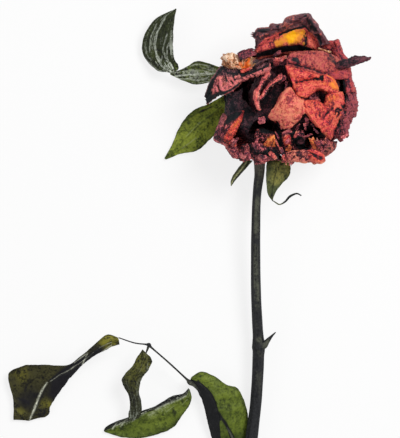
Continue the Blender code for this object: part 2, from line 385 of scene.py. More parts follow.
def write_marks(mesh, marks):
    for name, values in marks.items():
        layer = mesh.attributes.new(name, "FLOAT", "POINT")
        layer.data.foreach_set("value", np.asarray(values, np.float32))


UV_LENGTH = 100.0  # length on the real sheet that spans a UV map once


def sheet_mesh(name, points, marks):
    """An open sheet through a grid of points, with marks for the shader and real-size UVs."""
    rows, columns = points.shape[:2]
    bm = bmesh.new()
    bmesh.ops.create_grid(bm, x_segments=columns - 1, y_segments=rows - 1, size=1.0)
    place = np.array([vert.co[:2] for vert in bm.verts])
    order = np.rint((place[:, ::-1] + 1) / 2 * (rows - 1, columns - 1)).astype(int)
    length = np.linalg.norm(np.diff(points[:, columns // 2], axis=0), axis=-1).sum()
    width = np.linalg.norm(np.diff(points[rows // 2], axis=0), axis=-1).sum()
    sheet = bm.loops.layers.uv.new("sheet")
    for face in bm.faces:
        face.smooth = True
        for loop in face.loops:
            across, along = (loop.vert.co.x + 1) / 2, (loop.vert.co.y + 1) / 2
            loop[sheet].uv = (across * width / UV_LENGTH, along * length / UV_LENGTH)
    world = to_frame(points)
    for vert, (row, column) in zip(bm.verts, order):
        vert.co = world[row, column]
    mesh = bpy.data.meshes.new(name)
    bm.to_mesh(mesh)
    bm.free()
    write_marks(mesh, {label: values[order[:, 0], order[:, 1]] for label, values in marks.items()})
    return mesh


def thicken(piece, thick):
    """Give an open sheet its thickness, half to each side."""
    solidify = piece.modifiers.new("thickness", "SOLIDIFY")
    solidify.thickness = thick * MM
    solidify.offset = 0.0


# %% [markdown]
# ## The finish of dried petals
#
# The red of a dried rose petal shows only where light still reaches it, so light and shade are
# painted into its colour: folds are painted paler, as highlights, and valleys brown to black, as shade.
# Fine streaks run from root to tip where the veins shrank. The claw at the foot of a petal dries
# yellow. The sheets carry these places as marks, and one node group turns the marks into colour,
# gloss and relief for every petal finish.


# %% Node group: dried petal
PETAL_COLOURS = ("ShadedValley", "Body", "LitRidge", "Edge", "Heart", "ScorchAndShade")


def new_group(name, colours, values=()):
    """A node group that takes these colours and values, and gives a finish its colour and relief."""
    group = bpy.data.node_groups.new(name, "ShaderNodeTree")
    for label in colours:
        group.interface.new_socket(label, in_out="INPUT", socket_type="NodeSocketColor")
    for label in values:
        group.interface.new_socket(label, in_out="INPUT", socket_type="NodeSocketFloat")
    group.interface.new_socket("Color", in_out="OUTPUT", socket_type="NodeSocketColor")
    for label in ("Roughness", "Height"):
        group.interface.new_socket(label, in_out="OUTPUT", socket_type="NodeSocketFloat")
    nodes = Nodes(group)
    return group, nodes, nodes.add("NodeGroupInput").outputs, nodes.add("NodeGroupOutput").inputs


def dried_petal_group():
    group, nodes, given, out = new_group("dried_petal", PETAL_COLOURS)
    sheet = nodes.add("ShaderNodeUVMap", {"uv_map": "sheet"}).outputs[0]
    solid = nodes.add("ShaderNodeTexCoord").outputs["Object"]
    streak = nodes.noise(nodes.stretched(sheet, (95.0, 7.0, 1.0)), 1.0, 4.0, 0.6)
    hair = nodes.noise(nodes.stretched(sheet, (260.0, 22.0, 1.0)), 1.0, 2.0, 0.5)
    blotch = nodes.noise(solid, 160.0, 4.0, 0.6)
    grain = nodes.noise(solid, 1300.0, 3.0, 0.65)
    speck = nodes.noise(solid, 780.0, 2.0, 0.5)
    fleck = nodes.noise(solid, 2000.0, 1.0, 0.5)
    web = nodes.math("ABSOLUTE", nodes.math("SUBTRACT", nodes.noise(solid, 620.0, 3.0, 0.6), 0.5))
    # painted light: the fold mark lightens folds and raised walls as highlights and darkens creases as shade
    shade = nodes.math("SUBTRACT", nodes.mark("shade_and_tone"), nodes.ramp(web, 0.0, 0.055, 0.25, 0.0))
    mottling = ((streak, 1.0), (blotch, 0.6), (grain, 1.5), (speck, 1.2), (hair, 0.35), (fleck, 2.0))
    for texture, amount in mottling:
        shade = nodes.sway(shade, texture, amount)
    # the shaded valley colour is painted shade and the lit ridge colour a painted highlight
    colour = nodes.mix(nodes.ramp(shade, 0.08, 0.52), given["ShadedValley"], given["Body"])
    colour = nodes.mix(nodes.ramp(shade, 0.5, 1.0), colour, given["LitRidge"])
    dim_edge = nodes.mix(0.8, given["Edge"], given["ShadedValley"])
    lit_edge = nodes.mix(nodes.ramp(shade, 0.12, 0.6), dim_edge, given["Edge"])
    lit_edge = nodes.mix(nodes.ramp(shade, 0.7, 1.15, 0.0, 0.6), lit_edge, given["LitRidge"])
    rim = nodes.sway(nodes.mark("rim"), grain, 0.6)
    colour = nodes.mix(nodes.ramp(rim, 0.35, 0.7), colour, lit_edge)
    warm = nodes.sway(nodes.mark("warm"), streak, 0.9)
    orange = nodes.mix(0.5, given["Heart"], given["Body"])
    colour = nodes.mix(nodes.ramp(warm, 0.25, 0.55), colour, orange)
    colour = nodes.mix(nodes.ramp(warm, 0.6, 0.95), colour, given["Heart"])
    # the scorch mark paints burnt patches and also the shadow in the gaps between petals
    scorch_and_shade = nodes.sway(nodes.mark("scorch_and_shade"), blotch, 1.1)
    colour = nodes.mix(nodes.ramp(scorch_and_shade, 0.35, 0.75), colour, given["ScorchAndShade"])
    drift = nodes.sway(speck, blotch, 0.6)
    turned = nodes.add("ShaderNodeHueSaturation")
    nodes.put(turned.inputs["Color"], colour)
    nodes.put(turned.inputs["Hue"], nodes.ramp(drift, 0.15, 0.85, 0.484, 0.508))
    colour = turned.outputs["Color"]
    nodes.put(out["Color"], colour)
    nodes.put(out["Roughness"], nodes.ramp(shade, 0.0, 1.0, 0.78, 0.55))
    relief = nodes.math("ADD", nodes.math("MULTIPLY", streak, 0.6), nodes.math("MULTIPLY", hair, 0.3))
    nodes.put(out["Height"], nodes.math("ADD", relief, nodes.math("MULTIPLY", grain, 0.35)))
    return group


DRIED_PETAL = dried_petal_group()
print("node group", DRIED_PETAL.name)

# %% [markdown]
# The petal finishes are the same group with other colours: coral where the petals face the light,
# red on the inner whorls, burgundy on the outer ones, and nearly black as painted shade deep inside
# and on the left side, where a dark petal lies in shade. The rest are for single petals and for the scraps.

# %% Petal finishes
PETAL_FINISHES = {
    # name: shaded valley, body, lit ridge, edge, heart, scorch and painted shade
    "petal_coral": ((100,37,42), (194,68,56), (226,108,84), (240,148,122), (244,150,50), (23,22,27)),
    "petal_salmon": ((128,55,52), (200,90,76), (226,132,104), (236,150,112), (238,160,80), (23,22,27)),
    "petal_red": ((62,31,40), (146,52,54), (184,76,70), (206,100,92), (232,112,66), (23,22,27)),
    "petal_band": ((76,37,44), (146,58,54), (186,92,80), (206,110,100), (222,112,66), (27,27,33)),
    "petal_burgundy": ((36,29,37), (104,46,54), (160,74,78), (120,62,66), (232,160,48), (25,25,31)),
    "petal_black": ((16,19,24), (30,23,29), (82,50,58), (226,104,84), (200,96,60), (15,19,23)),
    "petal_deep": ((16,18,23), (32,21,27), (96,50,58), (128,58,56), (150,80,40), (15,19,23)),
    # petal_hood: its heart is the yellow claw, painted near full yellow to stand in for light shining through
    # the dried petal
    "petal_hood": ((88,39,42), (200,82,74), (228,112,92), (94,68,74), (252,184,20), (21,22,27)),
    "petal_flap": ((30,28,34), (62,38,46), (148,92,92), (236,130,124), (222,136,60), (25,28,31)),
    "petal_lobe": ((46,32,40), (140,62,68), (226,122,120), (226,88,66), (236,130,50), (23,26,30)),
    "petal_crumb": ((52,31,38), (140,62,60), (224,128,108), (236,146,110), (236,132,76), (33,28,35)),
    # petal_fold: its pale rim and ridge are painted highlights where the thin folds catch the light
    "petal_fold": ((28,28,35), (48,32,40), (240,150,136), (228,108,100), (222,122,70), (23,26,30)),
    "petal_dim": ((30,26,33), (88,44,54), (176,92,98), (190,92,92), (222,122,70), (23,26,30)),
    "petal_edge": ((88,39,46), (190,84,78), (228,124,108), (240,160,132), (236,140,76), (29,28,33)),
    "petal_pink": ((70,37,48), (164,72,78), (226,130,128), (232,130,118), (222,136,60), (29,30,31)),
    "petal_pale": ((120,81,52), (206,142,96), (244,214,184), (238,190,120), (226,106,34), (47,41,37)),
    "petal_orange": ((96,45,38), (198,92,44), (236,146,80), (232,140,96), (240,160,50), (37,31,35)),
}


def group_finish(name, tree, settings, shine, relief, depth):
    """A material that shows a node group with these settings; depth is that of its bumps in mm."""
    material, nodes, shader = new_material(name)
    group = nodes.add("ShaderNodeGroup", {"node_tree": tree})
    for socket, value in zip(group.inputs, settings):
        socket.default_value = value if isinstance(value, (int, float)) else srgb(*value)
    nodes.put(shader.inputs["Base Color"], group.outputs["Color"])
    nodes.put(shader.inputs["Roughness"], group.outputs["Roughness"])
    shader.inputs["Specular IOR Level"].default_value = shine
    bump = nodes.add("ShaderNodeBump", Height=group.outputs["Height"], Strength=relief, Distance=depth * MM)
    nodes.put(shader.inputs["Normal"], bump.outputs[0])
    return material


PETALS = {
    name: group_finish(name, DRIED_PETAL, colours, shine=0.18, relief=0.55, depth=0.45)
    for name, colours in PETAL_FINISHES.items()
}
print("petal finishes:", ", ".join(PETALS))

# %% [markdown]
# ## The bloom's hidden whorls
#
# Rose petals stand in rings, each a smaller copy of the last. The frame draws one turned cup and
# scales it about a pivot, and the petals that mostly hide behind others follow the same cup here,
# with far more creasing and a curled, torn rim.

# %% The cup that the whorls follow
BLOOM_BASE = np.array((29.6, 34.0, 23.6))
AXIS_RISE, AXIS_RIGHT = math.radians(15.0), math.radians(20.0)
LEVEL = math.cos(AXIS_RISE)
AXIS = np.array((LEVEL * math.sin(AXIS_RIGHT), LEVEL * math.cos(AXIS_RIGHT), math.sin(AXIS_RISE)))
FRONT = np.array((0.0, 0.0, 1.0)) - AXIS * AXIS[2]
FRONT /= np.linalg.norm(FRONT)
RIGHT = np.cross(AXIS, FRONT)
BLOOM_DEPTH = 0.88
CUP = np.array((  # radius and height, from the claw to the rim
    (6.0, 1.5), (13.5, -3.8), (24.5, -2.0), (31.0, 8.0), (33.0, 22.0), (31.5, 35.0), (27.0, 46.0),
    (20.0, 55.0), (12.5, 62.0),
))
CUP_PIVOT = 22.0
CLAW_WIDTH, CORNER_DROP, TUCK = 0.36, 0.16, 0.036


def cup_surface(cup, heading, spread, rim, flare=0.0):
    """A place function for one petal of a whorl. Flare leans the rim out of the cup, in mm."""

    def place(u, v):
        width = CLAW_WIDTH + (1 - CLAW_WIDTH) * smooth_step(0.0, 0.55, u)
        reach = rim * u * (1 - CORNER_DROP * np.abs(v) ** 2.6 * smooth_step(0.3, 1.0, u))
        size = cup + TUCK * v * smooth_step(0.0, 0.35, u)
        radius, height = np.moveaxis(on_line(CUP, reach), -1, 0)
        height = CUP_PIVOT + size * (height - CUP_PIVOT)
        angle = np.radians(heading + spread * width * v)
        outward = np.cos(angle)[..., None] * BLOOM_DEPTH * FRONT + np.sin(angle)[..., None] * RIGHT
        lean = flare * smooth_step(0.7, 1.0, u)
        return BLOOM_BASE + AXIS * height[..., None] + outward * (size * radius + lean)[..., None]

    return place


# %% [markdown]
# One function makes every petal, whether its place function is a cup or a net of drawn points. It
# adds the ragged rim, the creases and the fine ripples, and works out the marks: one high on the folds and
# low in the creases, which paints highlights and shade; `rim` near the edges; `warm` at the yellow claw; and
# one where the petal is burnt dark, which also paints the shadow in the gaps between petals.
# The folds come in four sizes, because dried skin folds as a whole first and then crackles.

# %% How a petal crumples
FOLD_SIZES = (13.0, 5.2, 2.3, 1.2)  # big, mid, small and tiny


def looseness(u):
    """A petal is stiff at its claw and folds freely from there on."""
    return 0.35 + 0.65 * smooth_step(0.1, 0.7, u)


def crumpled(smooth, u, v, seed, crease, fine, ripple):
    """How far folds and waves lift each point of a petal, and how much it stands out on a fold."""
    big, mid, small, tiny = (
        crease_at(smooth, size, seed + 3 * number) for number, size in enumerate(FOLD_SIZES)
    )
    pleat = crease_at(on_sheet(v * 14, u * 1.6, seed * 1.7), 1.0, seed + 11)
    wave = noise_at(on_sheet(v * 3.4, u * 1.5, seed * 2.3), 1.0, seed + 21)
    lift = crease * (1.1 * (big - 0.4) + 0.8 * (mid - 0.4))
    lift += fine * (0.42 * (small - 0.4) + 0.16 * (tiny - 0.4) + 0.2 * (pleat - 0.4))
    lift = looseness(u) * lift + ripple * 3.0 * wave * smooth_step(0.55, 1.0, u)
    shade_and_tone = 0.30 * (big + 0.2) + 0.32 * (mid + 0.2) + 0.26 * (small + 0.2)
    return lift, shade_and_tone + 0.12 * tiny + 0.16 * pleat


def shard_walls(u, v, grid, size, seed):
    """Thin raised walls between the flat cells of crackled skin, with finer ones inside them."""
    cells = on_sheet(v * grid[1] / 4.4, u * grid[0] / 5.2, seed * 0.7) * size
    inner = edge_at(cells * 1.9, 1.0, 0.07, seed + 33)
    return np.maximum(edge_at(cells, 1.0, 0.06, seed + 31), 0.8 * inner)


# %% Make one petal
PETAL_THICK = 0.22
PETAL_GAP = 0.35  # between the lowest petals and the table
MESH_STEP = 0.55
ROWS_ALLOWED, COLUMNS_ALLOWED = (16, 150), (12, 96)
DRAWN_FROM, DRAWN_FULL = 23.0, 27.0  # heights between which drawn lines and stains fade in


def grid_for(surface, step):
    """How many rows and columns give a petal squares of about that size."""
    u, v = np.meshgrid(np.linspace(0, 1, 30), np.linspace(-1, 1, 30), indexing="ij")
    rough = surface(u, v)
    length = np.linalg.norm(np.diff(rough, axis=0), axis=-1).sum(0).mean()
    width = np.linalg.norm(np.diff(rough, axis=1), axis=-1).sum(1).max()
    rows = np.clip(length / step, *ROWS_ALLOWED)
    columns = np.clip(width / step, *COLUMNS_ALLOWED)
    return int(rows), int(columns)


def petal(name, surface, slot, seed, finish=None, crease=1.0, fine=1.0, rag=0.06, teeth=9, ripple=0.6,
          lines=(), stains=(), rim=(0.93, 0.98, 0.0), tone=0.0, shards=0.0, shard=1.0, step=MESH_STEP):
    """Make one petal on a place function.

    crease, fine and ripple say how strong its folds, wrinkles and waves are, rag and teeth how deep
    and how many its tears are. rim says where the edge colour begins, where it is full and how strong
    it is; on the thin folds that edge is a painted highlight. tone makes the whole petal paler or darker; on
    some petals this is painted light, on others painted shade. shards is how strong the walls between its
    cells are and shard the size of a cell. step is the size of a mesh square.
    """
    grid = grid_for(surface, step)
    u, v = np.meshgrid(np.linspace(0, 1, grid[0]), np.linspace(-1, 1, grid[1]), indexing="ij")
    short = ragged((v + 1) / 2, teeth, rag, seed) * smooth_step(0.2, 1.0, u)
    narrow = ragged(u, teeth, rag, seed + 40) * smooth_step(0.15, 0.6, u)
    smooth = surface(u * (1 - short), v * (1 - narrow))
    facing = face_directions(smooth)
    lift, shade_and_tone = crumpled(smooth, u, v, seed, crease, fine, ripple)
    wall = shard_walls(u, v, grid, step / shard, seed)
    lift += shards * looseness(u) * shard * (1.3 * wall - 0.4)
    # painted light: raised walls and the tone are added to the fold mark, so the walls show as highlights
    shade_and_tone += tone + shards * (wall - 0.42)
    upper = smooth_step(DRAWN_FROM, DRAWN_FULL, smooth[..., 2])
    upper *= smooth_step(0.1, 0.35, np.abs(facing[..., 2]))
    drawn = upper * lines_at(smooth, lines) * (0.75 + 0.9 * noise_at(smooth, 1.1, seed + 15))
    points = smooth + facing * lift[..., None]
    points[..., 2] -= 0.55 * drawn
    points = above_table(points, PETAL_GAP)
    warm, scorch_and_shade = (
        upper * lines_at(points, [row[1:] for row in stains if row[0] == kind]) for kind in ("warm", "scorch_and_shade")
    )
    rim_start, rim_full, rim_strength = rim
    # drawn lines darken the fold mark and feed the scorch mark: painted shade in creases, painted highlight
    # on lips
    marks = {
        "shade_and_tone": np.clip(shade_and_tone - 0.75 * np.clip(drawn, -1, 1), -0.9, 1.5),
        "rim": smooth_step(rim_start, rim_full, u) * rim_strength,
        "warm": warm,
        "scorch_and_shade": np.clip(drawn - 0.25, 0, 1) + scorch_and_shade,
    }
    piece = add_piece(sheet_mesh(name, points, marks), name, PETALS[finish or slot])
    thicken(piece, PETAL_THICK)


# %% The whorl petals
WHORLS = {
    # name: (cup size, heading, spread, rim, flare), slot, finish
    "back_right_petal": ((0.86, 138, 42, 0.84, 1.0), "petal_red", "petal_deep"),
    "back_left_petal": ((0.72, -142, 40, 0.62, 0.0), "petal_burgundy", "petal_deep"),
    "back_petal": ((0.77, 170, 44, 0.80, 0.0), "petal_burgundy", "petal_deep"),
    "right_inner_petal": ((0.77, 102, 40, 0.80, 0.0), "petal_red", "petal_deep"),
    "far_petal": ((0.655, 152, 56, 0.84, 0.0), "petal_red", "petal_deep"),
    "heart_right_petal": ((0.54, 60, 62, 0.84, 0.0), "petal_red", "petal_black"),
    "heart_back_petal": ((0.54, 180, 62, 0.84, 0.0), "petal_burgundy", "petal_deep"),
    "bud_right_petal": ((0.425, 90, 92, 0.82, 0.0), "petal_red", "petal_deep"),
    "bud_left_petal": ((0.425, -90, 92, 0.82, 0.0), "petal_burgundy", "petal_deep"),
}

# the hidden whorls wear the nearly black finishes, which paint the shade deep inside the bloom
for number, (name, (cup, slot, finish)) in enumerate(WHORLS.items()):
    petal(name, cup_surface(*cup), slot, number + 1, finish, step=0.8)
print("whorl petals:", len(WHORLS))

# %% [markdown]
# ## The petals that show
#
# The petals on top flopped over one another as they dried, and no formula gives their shapes. Each
# is drawn as a net of points: a row of the net crosses the petal, and the rows go from its root to
# its rim. Two rows close together with a drop between them make a rolled rim.

# %% Nets of the petals that show
PETAL_NETS = {}
PETAL_NETS["band_petal"] = (
    (427,535,270, 471,523,280, 516,517,280, 561,523,280, 595,534,280, 618,557,270, 636,569,250),
    (385,634,480, 435,624,476, 485,619,465, 536,614,446, 587,622,415, 629,635,369, 666,656,301),
    (381,680,509, 425,668,513, 472,655,509, 528,640,492, 585,647,456, 626,661,407, 662,676,335),
    (380,698,517, 428,692,524, 477,690,519, 528,688,501, 585,688,457, 624,688,409, 658,693,341),
    (387,714,513, 431,714,518, 481,718,508, 528,719,486, 580,716,447, 616,711,401, 647,704,342),
    (398,729,492, 440,736,491, 485,739,479, 530,739,458, 576,732,423, 608,720,385, 636,710,334),
    (403,726,444, 445,733,440, 490,736,426, 535,736,407, 578,729,378, 608,719,341, 636,709,300),
)
PETAL_NETS["arch_petal"] = (
    (426,544,300, 448,544,310, 470,544,310, 492,544,310, 509,547,310, 526,549,310, 543,552,310, 559,555,310,
     577,558,300, 594,555,300),
    (379,661,498, 401,654,501, 426,648,501, 454,642,499, 482,635,493, 506,630,485, 528,626,475, 552,628,461,
     572,620,448, 590,608,434),
    (377,670,526, 399,663,533, 425,656,535, 452,649,533, 480,643,527, 505,636,519, 526,633,507, 553,635,492,
     574,627,479, 596,614,459),
    (382,648,541, 404,639,548, 428,633,548, 454,628,543, 481,626,536, 504,623,526, 525,622,512, 552,621,502,
     574,612,492, 601,600,466),
    (394,627,538, 410,609,541, 430,599,536, 456,605,529, 483,609,522, 505,612,514, 525,613,505, 552,609,506,
     574,599,497, 607,587,465),
    (403,598,545, 417,583,556, 437,583,556, 460,587,556, 484,591,551, 505,593,544, 525,594,534, 551,593,520,
     575,586,504, 610,575,466),
    (406,573,544, 420,559,556, 442,553,556, 464,559,555, 486,571,551, 506,578,543, 526,581,535, 551,576,520,
     576,571,503, 612,565,462),
    (409,554,537, 424,538,542, 445,528,542, 466,530,537, 484,546,535, 505,565,530, 527,571,521, 552,562,508,
     578,558,493, 611,557,457),
    (418,553,492, 432,541,493, 448,534,492, 467,536,488, 487,545,485, 508,562,478, 529,567,467, 554,562,454,
     579,558,439, 608,556,412),
)
PETAL_NETS["triangle_petal"] = (
    (469,464,340, 485,464,340, 502,464,350, 524,467,350, 546,469,360, 562,472,360, 580,475,350, 597,478,340,
     611,481,330, 623,485,320),
    (440,522,496, 462,516,491, 484,514,484, 515,512,473, 544,503,454, 553,516,455, 560,535,453, 583,549,440,
     607,554,419, 628,555,394),
    (438,526,533, 460,521,534, 482,520,529, 513,518,514, 542,505,493, 552,520,496, 558,540,500, 581,554,488,
     607,559,465, 632,559,430),
    (446,505,537, 466,495,539, 488,488,533, 513,483,520, 539,480,499, 556,493,500, 569,507,503, 589,518,493,
     613,524,468, 638,526,424),
    (456,475,527, 474,464,530, 494,456,525, 516,450,516, 538,447,498, 557,455,490, 575,466,483, 595,478,475,
     619,486,452, 643,491,409),
    (477,446,512, 494,437,515, 511,429,511, 529,423,501, 545,419,489, 562,425,478, 579,437,471, 599,448,458,
     619,457,436, 642,462,394),
    (503,418,488, 516,412,491, 528,406,488, 541,400,480, 552,398,471, 564,401,462, 577,410,455, 591,418,444,
     606,427,429, 621,437,403),
    (533,390,455, 541,384,454, 549,379,451, 557,375,445, 564,374,438, 570,375,435, 576,380,430, 584,387,425,
     593,396,415, 604,403,397),
    (560,366,412, 564,361,408, 569,357,402, 574,354,396, 578,352,391, 582,353,388, 584,357,387, 587,361,386,
     591,368,385, 596,374,378),
)
PETAL_NETS["pear_petal"] = (
    (391,515,330, 397,514,340, 404,514,350, 411,513,360, 419,511,360, 427,508,360, 435,506,350,
     444,503,340),
    (357,533,493, 369,548,499, 383,562,501, 397,567,500, 409,553,499, 421,536,497, 437,524,491,
     453,517,483),
    (351,539,538, 362,554,551, 377,568,560, 395,574,562, 409,558,559, 421,539,553, 438,528,545,
     456,523,535),
    (329,495,535, 350,511,557, 371,524,567, 393,528,572, 411,523,568, 428,515,558, 444,509,548,
     459,500,533),
    (309,472,525, 335,478,549, 363,486,564, 390,490,570, 412,490,565, 431,489,555, 446,487,546,
     460,479,529),
    (299,452,510, 326,456,536, 358,456,551, 389,458,558, 411,459,553, 428,463,546, 443,466,538,
     458,465,524),
    (307,440,498, 332,434,518, 355,442,538, 383,431,541, 406,435,539, 423,442,533, 436,450,527,
     451,457,518),
    (323,434,480, 342,431,499, 357,414,510, 379,403,514, 403,409,514, 421,421,511, 432,432,506,
     443,446,500),
    (331,432,450, 353,434,473, 363,397,489, 382,397,495, 400,400,493, 417,415,490, 429,427,482,
     440,441,475),
)
PETAL_NETS["hood_petal"] = (
    (266,360,205, 280,363,200, 296,366,198, 312,363,200, 326,360,205),
    (160,400,90, 220,370,45, 310,340,26, 410,330,45, 490,350,90),
    (120,500,80, 190,520,34, 320,520,20, 460,500,34, 580,470,90),
    (180,640,90, 220,690,40, 350,720,32, 490,690,45, 580,620,110),
    (250,760,180, 290,820,150, 390,845,140, 480,810,160, 530,750,200),
    (265,719,230, 282,724,210, 299,728,200, 319,731,200, 339,735,200, 362,738,200, 384,741,200, 410,744,200,
     432,745,200, 452,745,200, 471,743,210, 488,739,220, 507,736,230, 526,732,240),
    (252,730,330, 268,740,330, 288,750,330, 310,761,330, 332,766,330, 357,771,330, 380,774,330, 405,778,330,
     427,782,330, 447,782,330, 466,773,330, 481,765,330, 503,761,330, 525,757,330),
    (252,745,356, 263,760,356, 279,774,356, 298,789,356, 320,803,354, 346,811,352, 371,817,350, 399,823,350,
     426,828,350, 460,830,350, 480,820,352, 498,808,354, 512,791,356, 528,762,354),
    (250,756,380, 257,772,386, 265,786,388, 280,801,388, 303,816,384, 328,827,380, 356,836,376, 389,846,374,
     423,856,374, 463,861,378, 485,845,382, 503,828,384, 522,805,384, 536,768,376),
    (248,762,390, 249,794,410, 253,817,414, 267,831,418, 305,836,416, 322,850,414, 360,851,412, 390,877,414,
     432,890,416, 474,898,418, 492,877,418, 523,838,414, 549,804,400, 567,776,376),
    (245,762,340, 247,797,365, 247,834,375, 263,849,380, 305,853,380, 317,869,380, 364,869,380, 389,896,380,
     434,908,380, 481,917,380, 501,893,380, 537,847,370, 565,806,360, 586,784,340),
)
PETAL_NETS["right_petal"] = (
    (427,456,260, 438,456,270, 449,456,270, 460,456,270, 469,459,265, 475,465,260, 478,468,250, 481,471,250,
     484,474,250),
    (588,527,200, 606,573,180, 618,607,170, 618,665,160, 601,710,160, 590,733,160, 578,749,170, 566,754,175,
     558,760,180),
    (663,546,270, 670,597,260, 669,648,250, 662,699,240, 642,739,240, 628,772,240, 616,789,250, 595,785,260,
     553,783,270),
    (690,565,330, 682,610,330, 674,660,325, 665,708,320, 643,741,320, 627,778,320, 616,801,320, 594,795,310,
     543,794,310),
    (679,562,380, 671,607,385, 662,654,385, 652,701,375, 630,734,365, 617,771,360, 608,790,355, 590,785,345,
     533,781,335),
    (651,560,410, 653,604,410, 646,647,405, 633,689,390, 612,721,375, 600,752,360, 592,769,350, 572,767,340,
     517,767,330),
    (631,562,390, 634,603,395, 627,638,395, 617,674,380, 595,707,360, 583,733,340, 567,746,330, 545,749,320,
     506,755,310),
)
PETAL_NETS["right_rim_petal"] = (
    (320,350,220, 330,355,210, 336,360,200, 330,365,190, 320,370,180, 315,375,180),
    (529,294,250, 535,314,225, 542,335,200, 547,359,170, 551,382,140, 549,405,125, 547,428,110, 542,451,100,
     536,475,90, 525,498,90, 514,520,90),
    (594,354,300, 631,390,240, 659,442,190, 664,506,150, 654,575,130, 632,633,120),
    (601,365,310, 618,369,305, 632,354,300, 644,371,300, 664,370,295, 657,399,290, 675,439,280, 695,478,270,
     700,524,260, 698,569,250, 685,620,240),
    (595,374,380, 610,376,380, 623,368,375, 634,379,370, 648,380,365, 645,404,370, 661,441,365, 679,480,360,
     685,522,355, 682,561,350, 672,609,340),
    (582,389,410, 596,394,415, 607,392,415, 618,403,415, 626,414,415, 629,433,420, 641,461,420, 654,489,415,
     660,522,410, 660,559,400, 655,596,380),
    (577,403,400, 588,411,410, 596,417,415, 604,428,415, 612,439,420, 619,455,420, 630,477,420, 638,500,415,
     644,528,410, 647,559,400, 645,590,380),
)
PETAL_NETS["left_flap_petal"] = (
    (360,715,260, 337,721,255, 315,724,250, 292,724,250, 270,721,250, 242,715,260, 213,709,270, 179,702,290,
     145,689,310, 112,666,320, 84,643,330, 59,615,330),
    (310,707,447, 293,705,444, 274,697,441, 252,684,439, 221,671,430, 183,669,409, 150,673,384, 120,678,352,
     96,680,320, 69,648,295, 43,608,255, 25,560,275),
    (308,702,430, 289,697,430, 268,685,430, 246,670,426, 213,659,420, 173,654,410, 145,660,400, 118,666,388,
     93,670,370, 66,638,350, 39,597,330, 21,543,310),
    (310,685,462, 296,669,460, 274,657,454, 252,650,446, 219,645,436, 184,638,426, 156,630,418, 129,628,408,
     101,633,396, 73,624,376, 49,591,350, 25,531,320),
    (313,672,460, 302,654,458, 280,643,450, 258,638,442, 222,631,432, 192,615,420, 167,594,410, 140,576,400,
     112,565,388, 83,556,370, 57,539,346, 28,516,314),
    (311,671,430, 299,654,430, 277,643,420, 255,637,410, 220,630,400, 189,614,390, 165,593,380, 137,576,370,
     110,565,360, 83,555,346, 57,538,330, 29,515,304),
)
PETAL_NETS["left_back_petal"] = (
    (255,667,220, 255,681,220, 254,695,220, 253,712,220, 252,729,210),
    (237,662,300, 237,675,310, 236,689,310, 235,706,310, 233,726,300),
    (222,656,410, 224,671,424, 224,687,430, 221,704,430, 217,727,410),
    (191,656,404, 189,671,422, 188,687,430, 185,704,430, 183,726,416),
    (161,663,405, 156,675,428, 154,690,434, 153,709,432, 157,732,410),
    (129,667,386, 123,679,412, 122,696,424, 123,715,424, 131,736,400),
    (109,678,356, 103,689,380, 101,702,394, 102,715,394, 111,732,374),
    (104,683,330, 98,695,346, 97,706,356, 99,719,356, 108,733,344),
)
PETAL_NETS["left_fold_petal"] = (
    (304,663,295, 308,650,304, 290,630,308, 278,615,309, 269,602,310, 262,587,311, 257,570,313, 256,556,313,
     256,540,312, 256,526,309, 257,513,306, 261,501,298, 265,494,288),
    (305,655,397, 309,642,406, 292,622,409, 280,608,411, 270,594,411, 264,580,413, 259,563,414, 258,549,414,
     258,533,413, 258,519,411, 259,506,407, 263,494,399, 267,487,389),
    (306,650,467, 310,637,476, 293,617,480, 281,603,481, 271,589,482, 265,575,484, 259,559,485, 259,544,485,
     259,529,484, 258,515,481, 260,502,478, 264,490,470, 268,483,459),
    (305,647,511, 309,634,520, 292,614,524, 280,600,526, 271,587,526, 265,572,528, 259,556,529, 259,542,529,
     259,526,528, 258,512,525, 259,499,522, 263,487,514, 268,481,503),
    (301,648,521, 298,636,529, 284,617,533, 273,603,535, 265,589,535, 257,575,537, 246,557,536, 244,541,536,
     246,525,535, 248,511,533, 250,498,530, 255,486,522, 263,480,513),
    (298,650,505, 289,638,512, 278,621,516, 268,607,518, 261,593,519, 251,578,519, 236,559,517, 233,542,516,
     236,526,516, 241,512,515, 244,499,512, 249,486,505, 259,480,497),
)
PETAL_NETS["dark_fold_petal"] = (
    (372,639,301, 356,626,308, 337,616,311, 320,606,312, 304,592,312, 295,577,312, 289,562,313, 279,548,309,
     265,537,301),
    (371,630,401, 356,617,408, 337,607,412, 320,597,412, 305,584,412, 295,569,413, 289,554,413, 279,540,410,
     266,529,401),
    (371,624,471, 355,611,478, 336,601,482, 320,591,483, 304,578,483, 295,563,483, 289,548,483, 279,534,480,
     266,524,471),
    (370,621,515, 354,608,523, 336,598,526, 319,588,527, 304,575,527, 294,560,527, 288,546,528, 279,531,524,
     266,521,516),
    (363,631,525, 347,619,532, 330,607,536, 314,596,537, 299,581,537, 286,562,537, 278,547,536, 267,533,532,
     258,523,525),
    (358,641,510, 341,629,517, 326,615,521, 310,603,523, 295,586,523, 280,565,522, 270,549,521, 258,535,517,
     252,527,510),
)
PETAL_NETS["left_inner_petal"] = (
    (315,457,240, 304,480,230, 293,503,220, 282,526,210, 271,549,200),
    (347,511,300, 325,533,300, 303,556,290, 280,573,280, 253,591,270),
    (368,570,350, 346,592,350, 318,604,340, 285,599,330, 246,594,320),
    (389,618,380, 367,640,380, 334,652,370, 295,641,360, 245,620,340),
    (405,661,400, 383,678,400, 344,684,390, 300,668,380, 245,637,350),
)
